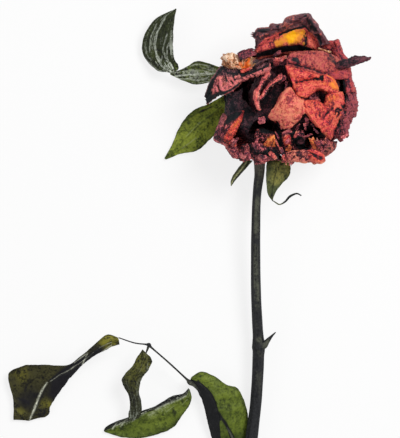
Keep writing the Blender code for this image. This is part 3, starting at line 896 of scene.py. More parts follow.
PETAL_NETS["left_dark_petal"] = (
    (280,375,205, 267,375,205),
    (237,345,220, 203,368,210, 175,397,200, 148,431,185, 137,466,170, 136,506,155, 144,547,140),
    (213,354,300, 174,382,290, 140,411,280, 118,442,274, 113,474,266, 119,513,256, 129,563,240),
    (210,374,360, 175,402,360, 146,430,350, 122,454,340, 116,481,330, 121,515,320, 131,563,300),
    (222,401,386, 189,432,386, 160,457,380, 136,479,374, 126,504,368, 128,530,360, 141,565,340),
    (245,435,380, 217,462,380, 189,485,380, 167,507,374, 157,530,370, 158,552,360, 171,576,340),
    (278,452,370, 250,480,370, 228,502,370, 206,524,370, 189,544,366, 189,561,360, 195,581,340),
)
PETAL_NETS["lower_left_petal"] = (
    (280,360,205, 267,360,205),
    (187,312,180, 147,335,180, 113,363,180, 96,403,170, 108,443,160),
    (169,269,280, 147,278,276, 121,314,272, 106,334,270, 70,348,265, 60,365,260, 73,399,256, 93,443,250,
     106,475,240),
    (171,288,345, 149,297,346, 126,325,344, 110,342,342, 83,357,340, 75,372,336, 86,399,330, 103,438,324,
     113,470,310),
    (167,318,386, 151,327,390, 132,341,390, 110,352,390, 98,367,388, 98,382,386, 107,404,384, 120,435,380,
     137,463,366),
    (145,333,404, 129,340,406, 112,351,408, 114,370,410, 125,391,410, 135,410,410, 147,429,410, 166,446,406,
     189,481,394),
    (157,327,406, 139,335,408, 122,347,410, 133,364,412, 146,382,412, 158,401,412, 171,420,412, 182,442,408,
     195,480,396),
    (165,330,380, 149,335,382, 129,346,384, 138,360,386, 151,378,388, 163,397,388, 175,417,386, 186,440,380,
     198,478,370),
)
PETAL_NETS["front_left_scrap_petal"] = (
    (284,350,210, 288,350,210, 291,350,210, 294,350,210, 298,350,210, 301,350,210, 305,350,210, 308,350,210,
     312,350,210),
    (181,301,200, 205,292,200, 230,285,200, 255,282,200, 279,281,205, 304,281,210, 329,282,210, 350,282,214,
     367,283,220),
    (160,278,290, 175,268,290, 196,259,290, 217,268,290, 238,272,294, 250,251,300, 274,250,300, 308,268,300,
     358,264,300),
    (167,291,350, 183,283,360, 201,278,366, 221,285,370, 241,285,370, 256,270,370, 278,268,370, 309,282,370,
     353,278,365),
    (179,314,396, 196,309,410, 214,308,418, 232,311,424, 250,311,428, 266,302,430, 287,302,430, 313,307,426,
     349,300,414),
    (186,335,410, 205,335,424, 222,338,434, 240,340,440, 257,340,444, 274,335,444, 293,332,442, 316,330,436,
     347,320,424),
)
PETAL_NETS["front_right_scrap_petal"] = (
    (284,350,210, 312,350,210),
    (384,283,220, 441,270,200, 498,270,190, 549,287,190, 583,318,190, 600,352,190),
    (365,259,295, 399,256,290, 422,265,286, 449,268,280, 487,270,280, 516,274,280, 552,286,280, 571,293,280,
     592,310,280, 593,348,280),
    (361,271,355, 396,265,360, 425,273,360, 448,276,364, 482,278,365, 509,283,366, 538,295,366, 560,305,364,
     579,320,360, 578,352,355),
    (358,284,400, 396,279,408, 430,284,412, 450,287,416, 478,292,420, 501,298,420, 525,311,420, 545,325,420,
     565,338,414, 570,359,406),
    (357,297,414, 398,293,426, 435,297,430, 453,301,436, 476,307,440, 495,316,442, 514,328,442, 531,340,440,
     548,353,434, 560,368,424),
)
PETAL_NETS["front_curl_petal"] = (
    (284,350,220, 312,350,220),
    (235,303,300, 291,295,310, 347,292,310, 403,295,310, 465,303,300),
    (237,341,365, 289,337,385, 344,334,390, 400,334,385, 467,346,375),
    (244,378,400, 294,375,414, 343,369,418, 396,369,418, 460,384,408),
    (252,403,405, 296,399,420, 343,392,424, 393,392,422, 452,408,415),
)
PETAL_NETS["front_lobe_left"] = (
    (380,294,430, 406,302,446, 433,305,450, 461,306,450, 490,300,440),
    (381,275,424, 406,281,440, 434,283,448, 461,284,446, 494,280,430),
    (385,258,410, 407,263,426, 434,262,430, 462,260,430, 493,263,416),
    (389,250,390, 408,255,406, 435,252,410, 463,245,410, 492,253,396),
)
PETAL_NETS["front_lobe_right"] = (
    (470,302,446, 490,306,454, 511,305,454, 531,296,450, 549,285,430),
    (479,280,436, 497,283,450, 516,282,454, 534,280,446, 552,276,426),
    (487,259,420, 502,257,434, 519,254,438, 538,257,430, 556,266,410),
    (493,251,400, 507,245,412, 523,243,414, 541,246,408, 559,261,392),
)
PETAL_NETS["shoulder_strip"] = (
    (668,671,367, 671,650,377, 674,629,372),
    (639,664,404, 643,645,417, 648,622,407),
    (602,654,440, 605,636,456, 610,617,444),
    (568,648,461, 570,634,476, 573,620,467),
    (537,642,476, 537,633,485, 539,623,480),
)
PETAL_NETS["claw_scrap"] = (
    (333,320,430, 314,319,434, 294,319,434, 273,322,426),
    (331,338,456, 316,338,460, 300,337,460, 284,336,454),
    (331,356,466, 319,356,470, 306,354,470, 295,351,464),
    (331,371,464, 322,372,468, 313,369,468, 305,365,460),
)

# %% Make the petals that show
DRAWN = {
    # name: slot, finish, looks
    "hood_petal": ("petal_burgundy", "petal_hood", dict(
        rag=0.012, teeth=16, ripple=0.06, crease=0.3, fine=0.6, rim=(0.76, 0.81, 1.0), step=0.5,
    )),
    "right_petal": ("petal_red", "petal_red", dict(crease=0.45, fine=0.7, rag=0.02, ripple=0.1)),
    "right_rim_petal": ("petal_burgundy", "petal_burgundy", dict(
        crease=0.6, fine=1.2, tone=0.2, teeth=22, ripple=0.12, shards=0.9, shard=0.7, step=0.42,
    )),
    "band_petal": ("petal_red", "petal_band", dict(
        crease=0.2, fine=0.6, rag=0.02, ripple=0.05, tone=0.04,
    )),
    "arch_petal": ("petal_coral", "petal_coral", dict(
        crease=0.3, fine=0.7, rag=0.012, ripple=0.05, tone=0.08,
    )),
    "triangle_petal": ("petal_coral", "petal_coral", dict(
        crease=0.35, fine=0.8, rag=0.015, ripple=0.06, tone=0.08,
    )),
    "pear_petal": ("petal_coral", "petal_salmon", dict(
        crease=0.25, fine=0.8, rag=0.02, ripple=0.05, tone=0.25,
    )),
    "left_flap_petal": ("petal_coral", "petal_flap", dict(
        crease=0.4, fine=0.9, rag=0.02, ripple=0.1, tone=0.04, rim=(0.56, 0.62, 1.0), shards=0.95,
        shard=0.5, step=0.38,
    )),
    "left_back_petal": ("petal_burgundy", "petal_pale", dict(
        crease=0.4, fine=0.9, ripple=0.3, step=0.36, shards=0.1, tone=-0.05,
    )),
    "left_inner_petal": ("petal_black", "petal_black", dict(crease=0.6, rag=0.04, ripple=0.2)),
    "left_dark_petal": ("petal_black", "petal_black", dict(
        crease=0.6, rag=0.03, ripple=0.15, tone=-0.1,
    )),
    "left_fold_petal": ("petal_black", "petal_fold", dict(
        crease=0.15, rag=0.02, teeth=14, ripple=0.03, rim=(0.68, 0.72, 1.0), tone=0.3, step=0.32,
        shards=0.5, shard=0.5,
    )),
    "dark_fold_petal": ("petal_black", "petal_fold", dict(
        crease=0.15, rag=0.02, teeth=14, ripple=0.03, rim=(0.68, 0.72, 0.85), tone=-0.1, step=0.32,
        shards=0.5, shard=0.5,
    )),
    "lower_left_petal": ("petal_burgundy", "petal_lobe", dict(
        crease=0.4, fine=0.9, rag=0.02, teeth=14, ripple=0.08, tone=0.14, shards=0.7, shard=0.6,
        step=0.38, rim=(0.7, 0.75, 1.0),
    )),
    "front_left_scrap_petal": ("petal_red", "petal_lobe", dict(
        crease=0.4, fine=0.7, rag=0.09, teeth=18, ripple=0.12, tone=-0.28, shards=0.95, shard=0.55,
        step=0.34,
    )),
    "front_right_scrap_petal": ("petal_coral", "petal_crumb", dict(
        crease=0.4, fine=0.7, teeth=14, ripple=0.1, tone=-0.1, shards=0.7, shard=0.6, step=0.34,
    )),
    "front_curl_petal": ("petal_coral", "petal_lobe", dict(
        crease=0.5, fine=0.7, rag=0.2, teeth=12, ripple=0.2, tone=-0.42, shards=1.0, shard=0.6,
        step=0.36,
    )),
    "front_lobe_left": ("petal_coral", "petal_crumb", dict(
        crease=0.25, fine=0.4, rag=0.04, teeth=7, ripple=0.1, rim=(0.8, 0.9, 0.9), step=0.36,
    )),
    "front_lobe_right": ("petal_coral", "petal_coral", dict(
        crease=0.3, fine=0.4, rag=0.03, teeth=5, ripple=0.1, tone=0.1, rim=(0.8, 0.88, 1.0), step=0.36,
    )),
    "shoulder_strip": ("petal_coral", "petal_red", dict(
        crease=0.25, fine=0.7, rag=0.04, teeth=8, ripple=0.08, tone=0.2, step=0.4,
    )),
    "claw_scrap": ("petal_coral", "petal_orange", dict(
        crease=0.3, fine=0.9, rag=0.08, teeth=5, ripple=0.15, rim=(0.84, 0.92, 0.6), step=0.34,
    )),
}

# %% Fold lines, as half width, strength and the places they pass, seen from above
# a positive strength sinks the sheet and paints the crease dark, as shade; a negative one raises a lip and
# paints it paler, as a highlight
FOLD_LINES = {}
FOLD_LINES["band_petal"] = (
    (5,1.4, 386,686, 408,680, 441,671, 469,664, 497,655, 529,646, 557,643),
    (5,1, 386,706, 406,704, 411,696), (3.5,0.6, 458,710, 456,669), (3,0.5, 486,735, 484,707),
    (3,0.45, 505,732, 503,658), (3,0.5, 527,732, 525,685), (3,0.5, 543,727, 546,691),
    (4,0.5, 568,721, 574,702), (4,0.5, 588,718, 596,702), (5,0.5, 574,674, 593,671, 607,680),
    (3.5,-0.5, 474,702, 473,669), (3.5,-0.5, 516,724, 513,658), (3,-0.4, 552,685, 574,652),
    (4.5,0.5, 425,724, 428,680), (4,0.45, 441,724, 444,702),
)
FOLD_LINES["arch_petal"] = (
    (5.5,1.5, 409,561, 419,544, 437,532, 460,526, 486,530),
    (5,1.7, 420,596, 436,601, 458,607, 486,611, 508,614, 527,617), (10,2.2, 534,638, 536,618),
    (6,1.2, 527,642, 543,640), (4,-1, 556,634, 575,623, 595,608, 606,589, 609,566),
    (3.5,-0.7, 381,669, 392,644, 406,622), (3.5,-0.7, 441,564, 469,574, 497,586, 524,590),
    (3,0.6, 428,649, 474,640), (3,0.5, 469,627, 513,620), (3,0.55, 430,625, 419,614),
    (3.5,0.6, 452,578, 486,587), (3,0.5, 552,591, 568,583), (3.5,-0.6, 430,583, 458,598, 497,607),
    (3,0.5, 458,550, 474,543), (3.5,0.5, 565,614, 579,591, 585,569),
)
FOLD_LINES["triangle_petal"] = (
    (5,0.9, 437,532, 460,526, 486,525), (4,0.7, 461,476, 459,503, 460,522),
    (6,1.5, 543,444, 556,463, 570,478, 584,487), (5.5,1.4, 595,463, 598,478, 607,488, 617,484, 614,474),
    (8,1.4, 605,478, 610,480), (7,1.3, 627,503, 636,494, 640,503), (5,1, 634,487, 638,497),
    (4.5,-1, 586,482, 599,494, 615,497, 629,487, 639,467), (4,-0.9, 552,444, 565,459, 580,469, 593,467),
    (4,-1.1, 462,481, 478,459, 497,436, 519,409, 543,383), (3.5,0.6, 497,503, 516,484, 530,448),
    (3,0.5, 571,525, 585,503), (3,0.5, 599,542, 618,534), (3.5,0.6, 585,448, 568,415),
    (3,0.5, 607,454, 590,429), (3.5,0.6, 513,465, 530,445), (3.5,-0.5, 563,539, 557,503),
    (3,0.5, 486,487, 510,454), (3.5,0.7, 546,500, 568,497, 586,489), (3,0.5, 601,520, 623,514),
    (3.5,-0.5, 546,420, 568,393), (3,0.5, 557,393, 571,371),
)
FOLD_LINES["pear_petal"] = (
    (5,1, 412,558, 423,540, 441,529, 461,524),
    (5,-1.1, 302,456, 319,483, 338,500, 356,520, 369,550, 382,568),
    (4,-0.8, 413,558, 428,534, 439,503, 438,476, 428,448), (3.5,-0.7, 309,442, 331,434, 353,441),
    (3,0.5, 386,536, 381,503, 364,476), (3,0.5, 403,514, 400,476), (3.5,0.6, 445,514, 448,481, 441,459),
    (3,0.5, 342,476, 359,459), (4.5,0.9, 359,434, 369,420, 381,423), (4,0.9, 386,415, 397,426, 411,418),
    (4,0.8, 419,434, 430,448), (3,0.5, 414,487, 419,459), (3.5,0.5, 353,503, 342,487),
    (3.5,-0.5, 386,448, 397,431), (3,0.45, 380,470, 388,445),
)
FOLD_LINES["hood_petal"] = (
    (5,1, 265,831, 303,826, 342,840, 375,851), (5,1, 309,853, 331,853, 353,856),
    (6,1, 397,876, 436,873, 463,862), (5,1, 474,889, 486,862, 497,840), (5,0.9, 508,834, 524,807, 538,779),
    (5,0.9, 497,856, 519,834), (4,-0.8, 276,815, 320,831, 364,842), (4,-0.7, 381,862, 419,867),
    (4,-0.7, 519,842, 543,807, 552,790), (3,0.6, 388,831, 390,807, 388,779),
    (4,1, 469,826, 476,801, 469,774), (5,1.2, 353,820, 386,836, 425,847, 466,854),
    (3.5,0.6, 353,798, 342,779), (3,0.5, 431,826, 434,785), (3.5,0.7, 331,807, 329,779, 331,762),
    (5,0.9, 251,801, 259,818, 276,826), (4,0.8, 419,895, 441,889, 469,900), (4,0.7, 284,785, 309,804),
    (4,0.8, 276,840, 287,815), (4,0.8, 342,851, 348,834), (4,0.7, 441,900, 447,873),
    (4,0.7, 519,856, 510,834), (4,0.7, 552,790, 530,779),
)
FOLD_LINES["right_petal"] = (
    (5,-0.9, 529,755, 552,748, 574,737, 593,727), (4,0.8, 601,779, 607,751, 618,727, 634,707),
    (4.5,1, 585,740, 604,718, 623,702), (3.5,0.6, 585,774, 590,751), (4.5,0.8, 541,768, 552,754),
    (4,0.7, 563,768, 574,751), (7,1.2, 618,696, 634,685, 654,696), (3.5,0.7, 657,636, 662,591, 670,558),
    (3.5,-0.5, 640,636, 651,591), (3,0.5, 634,658, 651,652), (3.5,0.6, 607,652, 618,641),
)
FOLD_LINES["right_rim_petal"] = (
    (5,1, 643,476, 629,442, 612,420, 601,393), (4.5,0.9, 618,415, 623,393, 621,371),
    (4.5,0.9, 634,431, 634,404, 640,382), (4,-0.6, 651,459, 640,431, 629,398),
    (4,0.7, 665,525, 668,487, 657,454), (4,-0.6, 676,547, 676,503), (5,0.9, 599,393, 607,371),
    (4,0.7, 651,547, 659,514), (4,-0.5, 607,398, 615,376),
)
FOLD_LINES["left_flap_petal"] = (
    (3.5,0.9, 77,622, 86,608, 80,591), (3.5,0.9, 110,614, 105,597, 113,580),
    (3.5,0.8, 135,616, 145,600, 138,583), (3.5,0.8, 58,586, 69,575), (3.5,0.8, 160,622, 171,608),
    (3.5,-0.8, 72,602, 88,614), (3.5,-0.8, 94,586, 110,591), (3.5,-0.8, 124,591, 132,602),
    (4,1, 33,558, 55,564, 83,561), (3.5,0.8, 196,636, 205,627), (3.5,0.8, 218,642, 223,632),
    (3.5,0.8, 279,658, 287,647), (5,1.1, 71,607, 83,583, 97,564), (4,0.9, 97,619, 105,591, 119,576),
    (4,0.8, 127,619, 132,591), (4,0.8, 154,619, 166,602), (4,-0.7, 83,619, 91,591, 105,569),
    (4,-0.7, 116,619, 124,586), (4,-0.6, 66,602, 77,569), (4.5,-1, 166,594, 138,576, 110,565),
    (4,0.9, 182,627, 199,636), (4,0.9, 232,640, 243,636), (5,1, 265,644, 276,652),
    (4.5,-0.9, 309,674, 298,658, 279,647, 259,640), (6,1.1, 99,669, 127,647, 166,641),
    (5,0.9, 66,625, 55,591, 39,558), (4,0.8, 141,614, 149,591),
)
FOLD_LINES["left_back_petal"] = (
    (5,1.2, 175,724, 182,707, 178,696), (5,1.1, 190,724, 194,707, 204,702),
    (3,0.6, 130,718, 132,702, 126,685), (3,0.55, 148,724, 152,707, 145,688),
    (3.5,0.7, 108,702, 116,688, 132,674), (4,0.8, 166,681, 188,678, 210,683),
    (6,-0.8, 138,724, 141,702, 137,680), (6,-0.8, 113,718, 119,702), (6,-0.8, 157,718, 166,702, 166,685),
    (4.5,-1, 212,680, 223,691), (5,1, 199,696, 212,707), (5,-0.8, 127,676, 154,669, 188,666),
)
FOLD_LINES["left_dark_petal"] = (
    (5,-0.6, 130,525, 127,481, 138,448), (5,0.8, 138,542, 145,503, 160,470),
    (5,-0.5, 166,547, 171,503, 193,459), (4,-0.5, 193,448, 221,415),
)
FOLD_LINES["lower_left_petal"] = (
    (4.5,1, 88,415, 83,382, 94,360), (4.5,0.9, 110,431, 105,401, 113,382), (4.5,1, 127,448, 119,420),
    (5,1.1, 127,349, 145,350, 138,342), (4.5,-0.8, 97,420, 91,387, 102,365), (4,-0.8, 119,415, 116,393),
    (5,1, 138,327, 154,310, 166,288), (4,-0.9, 119,321, 135,294, 149,274),
    (4,-0.9, 132,332, 154,316, 166,305), (5,1, 119,332, 130,310), (5,1, 77,354, 99,343),
    (4,-0.7, 72,349, 99,335, 113,321), (4,0.8, 143,288, 160,277), (4,0.7, 138,420, 149,431),
)
FOLD_LINES["front_left_scrap_petal"] = (
    (5,1.2, 182,321, 193,294, 188,271), (5,1.2, 221,332, 226,305, 218,282),
    (5,1.3, 243,294, 276,288, 287,299), (6,1.3, 287,294, 309,288, 331,294),
    (4.5,-1, 201,327, 207,299, 204,271), (4.5,-1, 237,327, 243,305), (4.5,-1, 259,266, 281,260),
    (4,-1, 166,282, 182,270), (5,1.2, 210,282, 232,285, 243,274), (4.5,-0.9, 265,327, 276,310),
    (5,1.2, 298,321, 303,305), (5,1.2, 326,316, 342,288, 353,277),
)
FOLD_LINES["front_right_scrap_petal"] = (
    (6,1.6, 459,311, 486,296, 508,282, 531,273), (5,1.2, 419,288, 425,266, 417,252),
    (5,1.2, 381,282, 397,260, 403,244), (5,1, 524,332, 541,321, 557,327), (5,1, 546,305, 568,305, 579,316),
    (4,-0.9, 535,343, 552,332, 574,338), (4,-0.9, 530,310, 552,313, 574,310), (5,1.1, 563,349, 574,332),
    (4,-0.8, 441,282, 463,288, 480,277),
)
FOLD_LINES["front_curl_petal"] = (
    (5,-0.8, 265,387, 292,376, 331,382), (5,-0.8, 353,393, 386,382, 419,387), (5,-0.7, 276,360, 309,360),
    (5,-0.7, 430,393, 452,371),
)
FOLD_LINES["shoulder_strip"] = (
    (3,0.6, 563,636, 596,627), (3,0.6, 618,647, 651,641), (3,-0.5, 585,642, 629,636, 657,627),
    (3,0.5, 629,627, 651,622),
)
FOLD_LINES["left_fold_petal"] = (
    (2.8,0.45, 253,574, 252,558, 250,538), (2.2,-0.5, 237,558, 236,542, 241,525), (2,0.5, 259,509, 262,492),
    (2,-0.4, 298,636, 281,614),
)
FOLD_LINES["front_lobe_left"] = (
    (3.5,1.2, 386,288, 408,296, 441,294), (3.5,1.2, 409,266, 419,280, 441,282, 461,274, 474,260),
    (3,1, 441,257, 448,270), (3,-0.7, 397,263, 430,257, 458,254), (3,0.6, 425,282, 441,269, 463,274),
    (3,0.6, 474,288, 469,269),
)
FOLD_LINES["front_lobe_right"] = (
    (5,1.6, 479,294, 497,288, 519,280, 538,270), (3.5,1.2, 482,266, 491,280, 513,273, 532,262),
    (3.5,-0.8, 491,260, 513,253, 538,257),
)
FOLD_LINES["claw_scrap"] = (
    (4,-0.8, 287,324, 309,349, 326,365), (4,0.7, 314,321, 323,349), (3.5,0.6, 292,332, 303,354),
)

# %% Burnt and glowing strokes, and painted shadow in the gaps between petals: what they do, half width, strength, places
STAINS = {}
# under the hood's bowl the widest scorch stroke paints the black shadow below its rim
STAINS["hood_petal"] = (
    ("warm",23,0.66, 352,783, 367,797, 388,816), ("warm",17,1, 407,796, 415,826),
    ("warm",20,0.64, 439,800, 446,831), ("scorch_and_shade",9,0.55, 464,817, 470,803, 477,784),
    ("warm",11,0.4, 463,835, 465,815), ("warm",8,0.5, 464,782, 471,770),
    ("scorch_and_shade",13,1.3, 249,727, 288,742, 332,753, 388,763, 443,768, 498,748, 523,743),
    ("scorch_and_shade",5,0.9, 354,820, 388,837, 426,849, 468,857, 487,837), ("scorch_and_shade",9,0.8, 260,835, 310,840),
    ("scorch_and_shade",10,0.6, 365,859, 388,865), ("scorch_and_shade",11,0.7, 471,904, 493,871, 512,843),
    ("scorch_and_shade",9,0.7, 526,821, 540,782, 534,760), ("scorch_and_shade",9,0.6, 252,804, 250,765),
)
STAINS["right_petal"] = (
    ("scorch_and_shade",16,0.5, 673,610, 679,538, 673,472), ("scorch_and_shade",13,1.2, 627,635, 637,594, 636,560),
    ("scorch_and_shade",8,0.8, 595,727, 615,704, 631,699), ("scorch_and_shade",6,0.6, 545,765, 576,754),
)
STAINS["right_rim_petal"] = (
    ("scorch_and_shade",11,1, 642,560, 642,527, 631,497), ("scorch_and_shade",7,0.7, 615,433, 598,405),
)
STAINS["band_petal"] = (
    ("scorch_and_shade",13,0.7, 410,696, 437,688), ("scorch_and_shade",12,0.6, 576,727, 581,699, 604,682),
    ("scorch_and_shade",7,1, 413,704, 426,701), ("scorch_and_shade",8,0.5, 404,727, 437,734),
)
STAINS["arch_petal"] = (
    ("warm",11,0.85, 581,594, 589,580), ("warm",5,0.6, 558,635, 581,621, 604,594, 609,567),
    ("warm",16,0.35, 532,594, 559,588),
)
STAINS["triangle_petal"] = (
    ("warm",26,0.42, 570,527, 598,538), ("scorch_and_shade",5,0.9, 625,480, 629,497),
)
STAINS["left_flap_petal"] = (
    ("scorch_and_shade",9,1, 119,688, 80,652, 53,610, 33,566, 22,511), ("scorch_and_shade",15,0.6, 53,588, 42,560, 33,527),
    ("scorch_and_shade",6,0.9, 39,516, 61,535, 89,554, 133,571, 177,602),
    ("scorch_and_shade",15,0.75, 34,517, 53,539, 73,556, 94,564),
    ("scorch_and_shade",9,1, 180,587, 210,601, 244,615, 277,627, 308,638),
    ("scorch_and_shade",5.5,0.9, 183,637, 222,645, 249,655, 277,665, 299,678), ("warm",12,0.3, 111,599, 138,610),
    ("scorch_and_shade",15,0.8, 222,677, 260,688, 299,702, 316,713), ("scorch_and_shade",14,0.3, 138,649, 188,649),
    ("scorch_and_shade",7,0.7, 114,630, 119,610), ("scorch_and_shade",7,0.6, 147,632, 152,616),
    ("scorch_and_shade",6,0.6, 183,624, 194,616),
)
STAINS["left_back_petal"] = (
    ("warm",11,1, 206,688, 213,704, 224,715), ("warm",9,0.75, 183,658, 210,665, 238,680),
    ("warm",7,0.45, 133,677, 166,671), ("warm",9,0.8, 178,688, 194,671, 222,674),
    ("scorch_and_shade",8,0.9, 176,729, 183,710), ("scorch_and_shade",8,0.9, 191,729, 208,727, 222,731),
    ("scorch_and_shade",4,0.7, 195,688, 190,677), ("scorch_and_shade",10,0.9, 241,715, 244,688),
    ("scorch_and_shade",5,0.5, 123,721, 119,696), ("scorch_and_shade",4,0.5, 145,710, 150,682),
)
STAINS["front_curl_petal"] = (
    ("scorch_and_shade",16,1.3, 344,378, 351,333), ("scorch_and_shade",26,1.3, 415,372, 443,350, 460,322),
    ("scorch_and_shade",20,0.9, 277,394, 310,389),
)
STAINS["front_left_scrap_petal"] = (
    ("scorch_and_shade",18,1.2, 299,295, 332,289, 343,267), ("scorch_and_shade",18,0.7, 238,311, 260,300),
    ("scorch_and_shade",14,0.8, 177,344, 199,333),
)
STAINS["front_right_scrap_petal"] = (
    ("scorch_and_shade",8,1.2, 465,310, 487,297, 509,284, 532,275), ("scorch_and_shade",13,1, 371,295, 404,291, 443,303),
    ("scorch_and_shade",14,0.5, 554,333, 576,311),
)
STAINS["lower_left_petal"] = (
    ("warm",7,0.75, 169,433, 153,408), ("warm",6,0.4, 145,400, 136,383),
    ("scorch_and_shade",8,0.9, 120,343, 138,337, 153,332), ("scorch_and_shade",20,1.1, 145,452, 162,465, 178,477),
    ("scorch_and_shade",12,0.6, 131,455, 125,422), ("scorch_and_shade",12,0.7, 78,394, 72,367),
)

for number, (name, (slot, finish, looks)) in enumerate(DRAWN.items()):
    petal(name, net_surface(PETAL_NETS[name]), slot, 31 + number, finish,
          lines=FOLD_LINES.get(name, ()), stains=STAINS.get(name, ()), **looks)
print("drawn petals:", len(DRAWN))

# %% [markdown]
# ## Scraps in the mouth of the bloom
#
# Between the big petals stand broken and half-grown ones: small curled scraps, some still orange
# from the claw. Each is a little sheet with its root down in the bloom and its tip standing up.

# %% Scraps
SCRAPS = (
    # x, y, z of the tip end, length, width, heading, drop of the root, curl across, finish of the petal
    (38,37.6,47.5,5,3.6,100,5,-0.8,"coral"), (39.8,35.3,46.5,2.6,1.6,40,2,0.3,"pink"),
    (39.8,32.9,46,3.2,2.4,70,3,0.6,"orange"), (48.9,36.1,47.6,5.6,2.2,112,4,-0.6,"orange"),
    (50.6,35.4,47,5.6,2,124,4,-0.6,"edge"), (50.5,53.3,50.4,2,5.2,92,1.2,0.4,"pink"),
    (54.4,34.2,45.5,4,2.4,40,3,0.8,"dim"), (40.1,23.4,38.5,5.4,3,-102,-1.6,-0.8,"pink"),
    (33.8,26.3,44.5,4.6,2.2,-48,2,0.4,"edge"), (38.4,23.7,41.5,8.4,1.2,-70,-3,0.2,"edge"),
    (27.7,24.9,41,3.4,4.6,-90,-1.6,-0.8,"pink"), (19.2,26.2,38,3.4,2.4,-70,-1.4,-0.5,"pink"),
    (15.9,27.3,37,3,2.4,-110,-1.4,-0.5,"pink"), (11.1,32.9,37.5,5,4,200,4,0.8,"pink"),
    (26.8,44.9,49.5,3,3.4,100,3,0.8,"pink"), (35.2,39.9,49.5,3.6,1.8,200,3,0.4,"pink"),
    (40.4,39,49,4.2,1.8,20,3,0.4,"pink"), (43.2,38.7,48,3.2,1.2,60,3,0.3,"edge"),
    (46.8,45.3,50,4,2,96,4,0.5,"pink"), (44.3,44,49.4,2.6,0.9,24,3,0.3,"edge"),
    (45.8,42.2,49.2,3,0.9,104,3,0.3,"pink"), (48.6,42,49,2.6,1,146,3,0.3,"dim"),
    (49.8,40,48.4,3.4,0.8,140,3,0.2,"dim"), (44,42,49.5,3.2,1.2,60,3,0.4,"pink"),
    (38.5,71.3,49.5,6.5,1.8,20,5,0.6,"edge"), (34.1,71.2,49.5,3.6,2.6,80,4,0.8,"edge"),
    (36.6,69.7,49,4.6,1.6,-10,4,0.4,"pink"), (37.9,62.9,52,4.6,1.8,40,3,0.4,"pink"),
    (35.8,73.9,47,4,1.6,30,4,0.4,"dim"), (61.8,47.8,46,4,2.4,40,2,1.2,"deep"),
    (58,73.7,44,6,0.7,-18,1,0.1,"pale"), (24.6,68.9,44.8,4,0.8,38,1,0.1,"pale"),
    (23.4,66.6,44.6,5.6,1.6,14,2,0.2,"coral"), (25.9,35.9,46,5,1.6,62,4,-0.3,"pink"),
    (23.2,33.8,45.6,4.6,1.4,120,4,-0.3,"dim"), (21.1,31.1,44.4,4.4,1.6,70,3,-0.3,"pink"),
    (26,28.5,43.6,4,1.4,150,2,-0.3,"dim"), (17.1,36.1,43.6,4.6,1.4,50,3,-0.3,"dim"),
    (22.4,81.8,41,6,3.6,176,2,0.5,"deep"), (65.3,36.2,38.5,4,3,-40,3,0.6,"pink"),
    (57.6,32.8,42.5,5,4,-20,4,1,"dim"), (55.4,30,41.5,5,4,-50,3,1,"dim"),
    (35.3,31.6,45.5,4.4,1.4,120,4,0.3,"dim"), (38.2,60.8,50.6,5,1.1,84,3,-0.2,"dim"),
    (42.3,38.3,48,3.4,1.2,150,3,-0.3,"pink"), (45.5,38.7,47.6,3.6,1,40,3,-0.3,"dim"),
    (47,35.7,44.6,4.4,2.2,30,4,0.5,"deep"), (49.7,37.6,45.6,4.6,1,20,3,-0.3,"pink"),
    (51.9,34.9,44.6,5.4,3.6,60,3,0.4,"dim"), (33.1,38.7,47,4,0.9,120,4,-0.2,"pink"),
    (30.9,37.6,47,4.2,1,60,4,-0.2,"dim"), (35.9,29.9,44.8,6.4,0.9,-62,0.5,-0.2,"edge"),
    (13.9,29.6,37.6,3.4,1.6,-130,-1,-0.3,"pink"), (22.2,25.9,39.5,3.6,1.4,-80,-1,-0.3,"pink"),
    (10,41.7,40,5,2.4,70,3,0.8,"dim"), (25,74.6,44.5,8.6,4.4,19,-0.4,0.5,"burgundy"),
    (50.7,56.5,44.6,4.6,5,86,1.5,0.4,"dim"),
)


def scrap_surface(x, y, z, length, width, heading, drop, curl):
    """A place function for a small sheet that rises from its root to its tip."""
    turn = math.radians(heading)
    ahead = np.array((math.cos(turn), math.sin(turn), 0.0))
    side, up = np.array((-ahead[1], ahead[0], 0.0)), np.array((0.0, 0.0, 1.0))

    def place(u, v):
        reach = (u - 1.0)[..., None] * length
        belly = 0.55 + 0.45 * np.sin(np.pi * (u * 0.9 + 0.1))
        wide = (v * belly * width / 2)[..., None]
        rise = -drop * (1 - u) ** 1.6 + curl * v**2 - 0.5 * abs(curl) * smooth_step(0.75, 1.0, u)
        return np.array((x, y, z)) + ahead * reach + side * wide + up * rise[..., None]

    return place


# the dim and deep finishes are darker copies that paint shade on scraps set down between the petals
SCRAP_SLOTS = {
    "pink": "red", "edge": "coral", "orange": "coral", "pale": "coral", "deep": "black", "dim": "burgundy",
}
for number, (*shape, finish) in enumerate(SCRAPS):
    slot = "petal_" + SCRAP_SLOTS.get(finish, finish)
    petal(
        f"scrap_{number + 1:02d}", scrap_surface(*shape), slot, 101 + number, "petal_" + finish,
        crease=0.5, fine=0.9, rag=0.2, teeth=5, ripple=0.2, rim=(0.86, 0.93, 0.8), step=0.3,
    )
print("scraps:", len(SCRAPS))

# %% [markdown]
# ## Leaves and sepals
#
# A leaflet is a blade with a stiff midrib, and its two halves curl by different amounts as they
# dry. Each station of a blade gives three points: one edge, the midrib and the other edge. Side
# veins are pressed into the sheet itself, so that they show from any side.

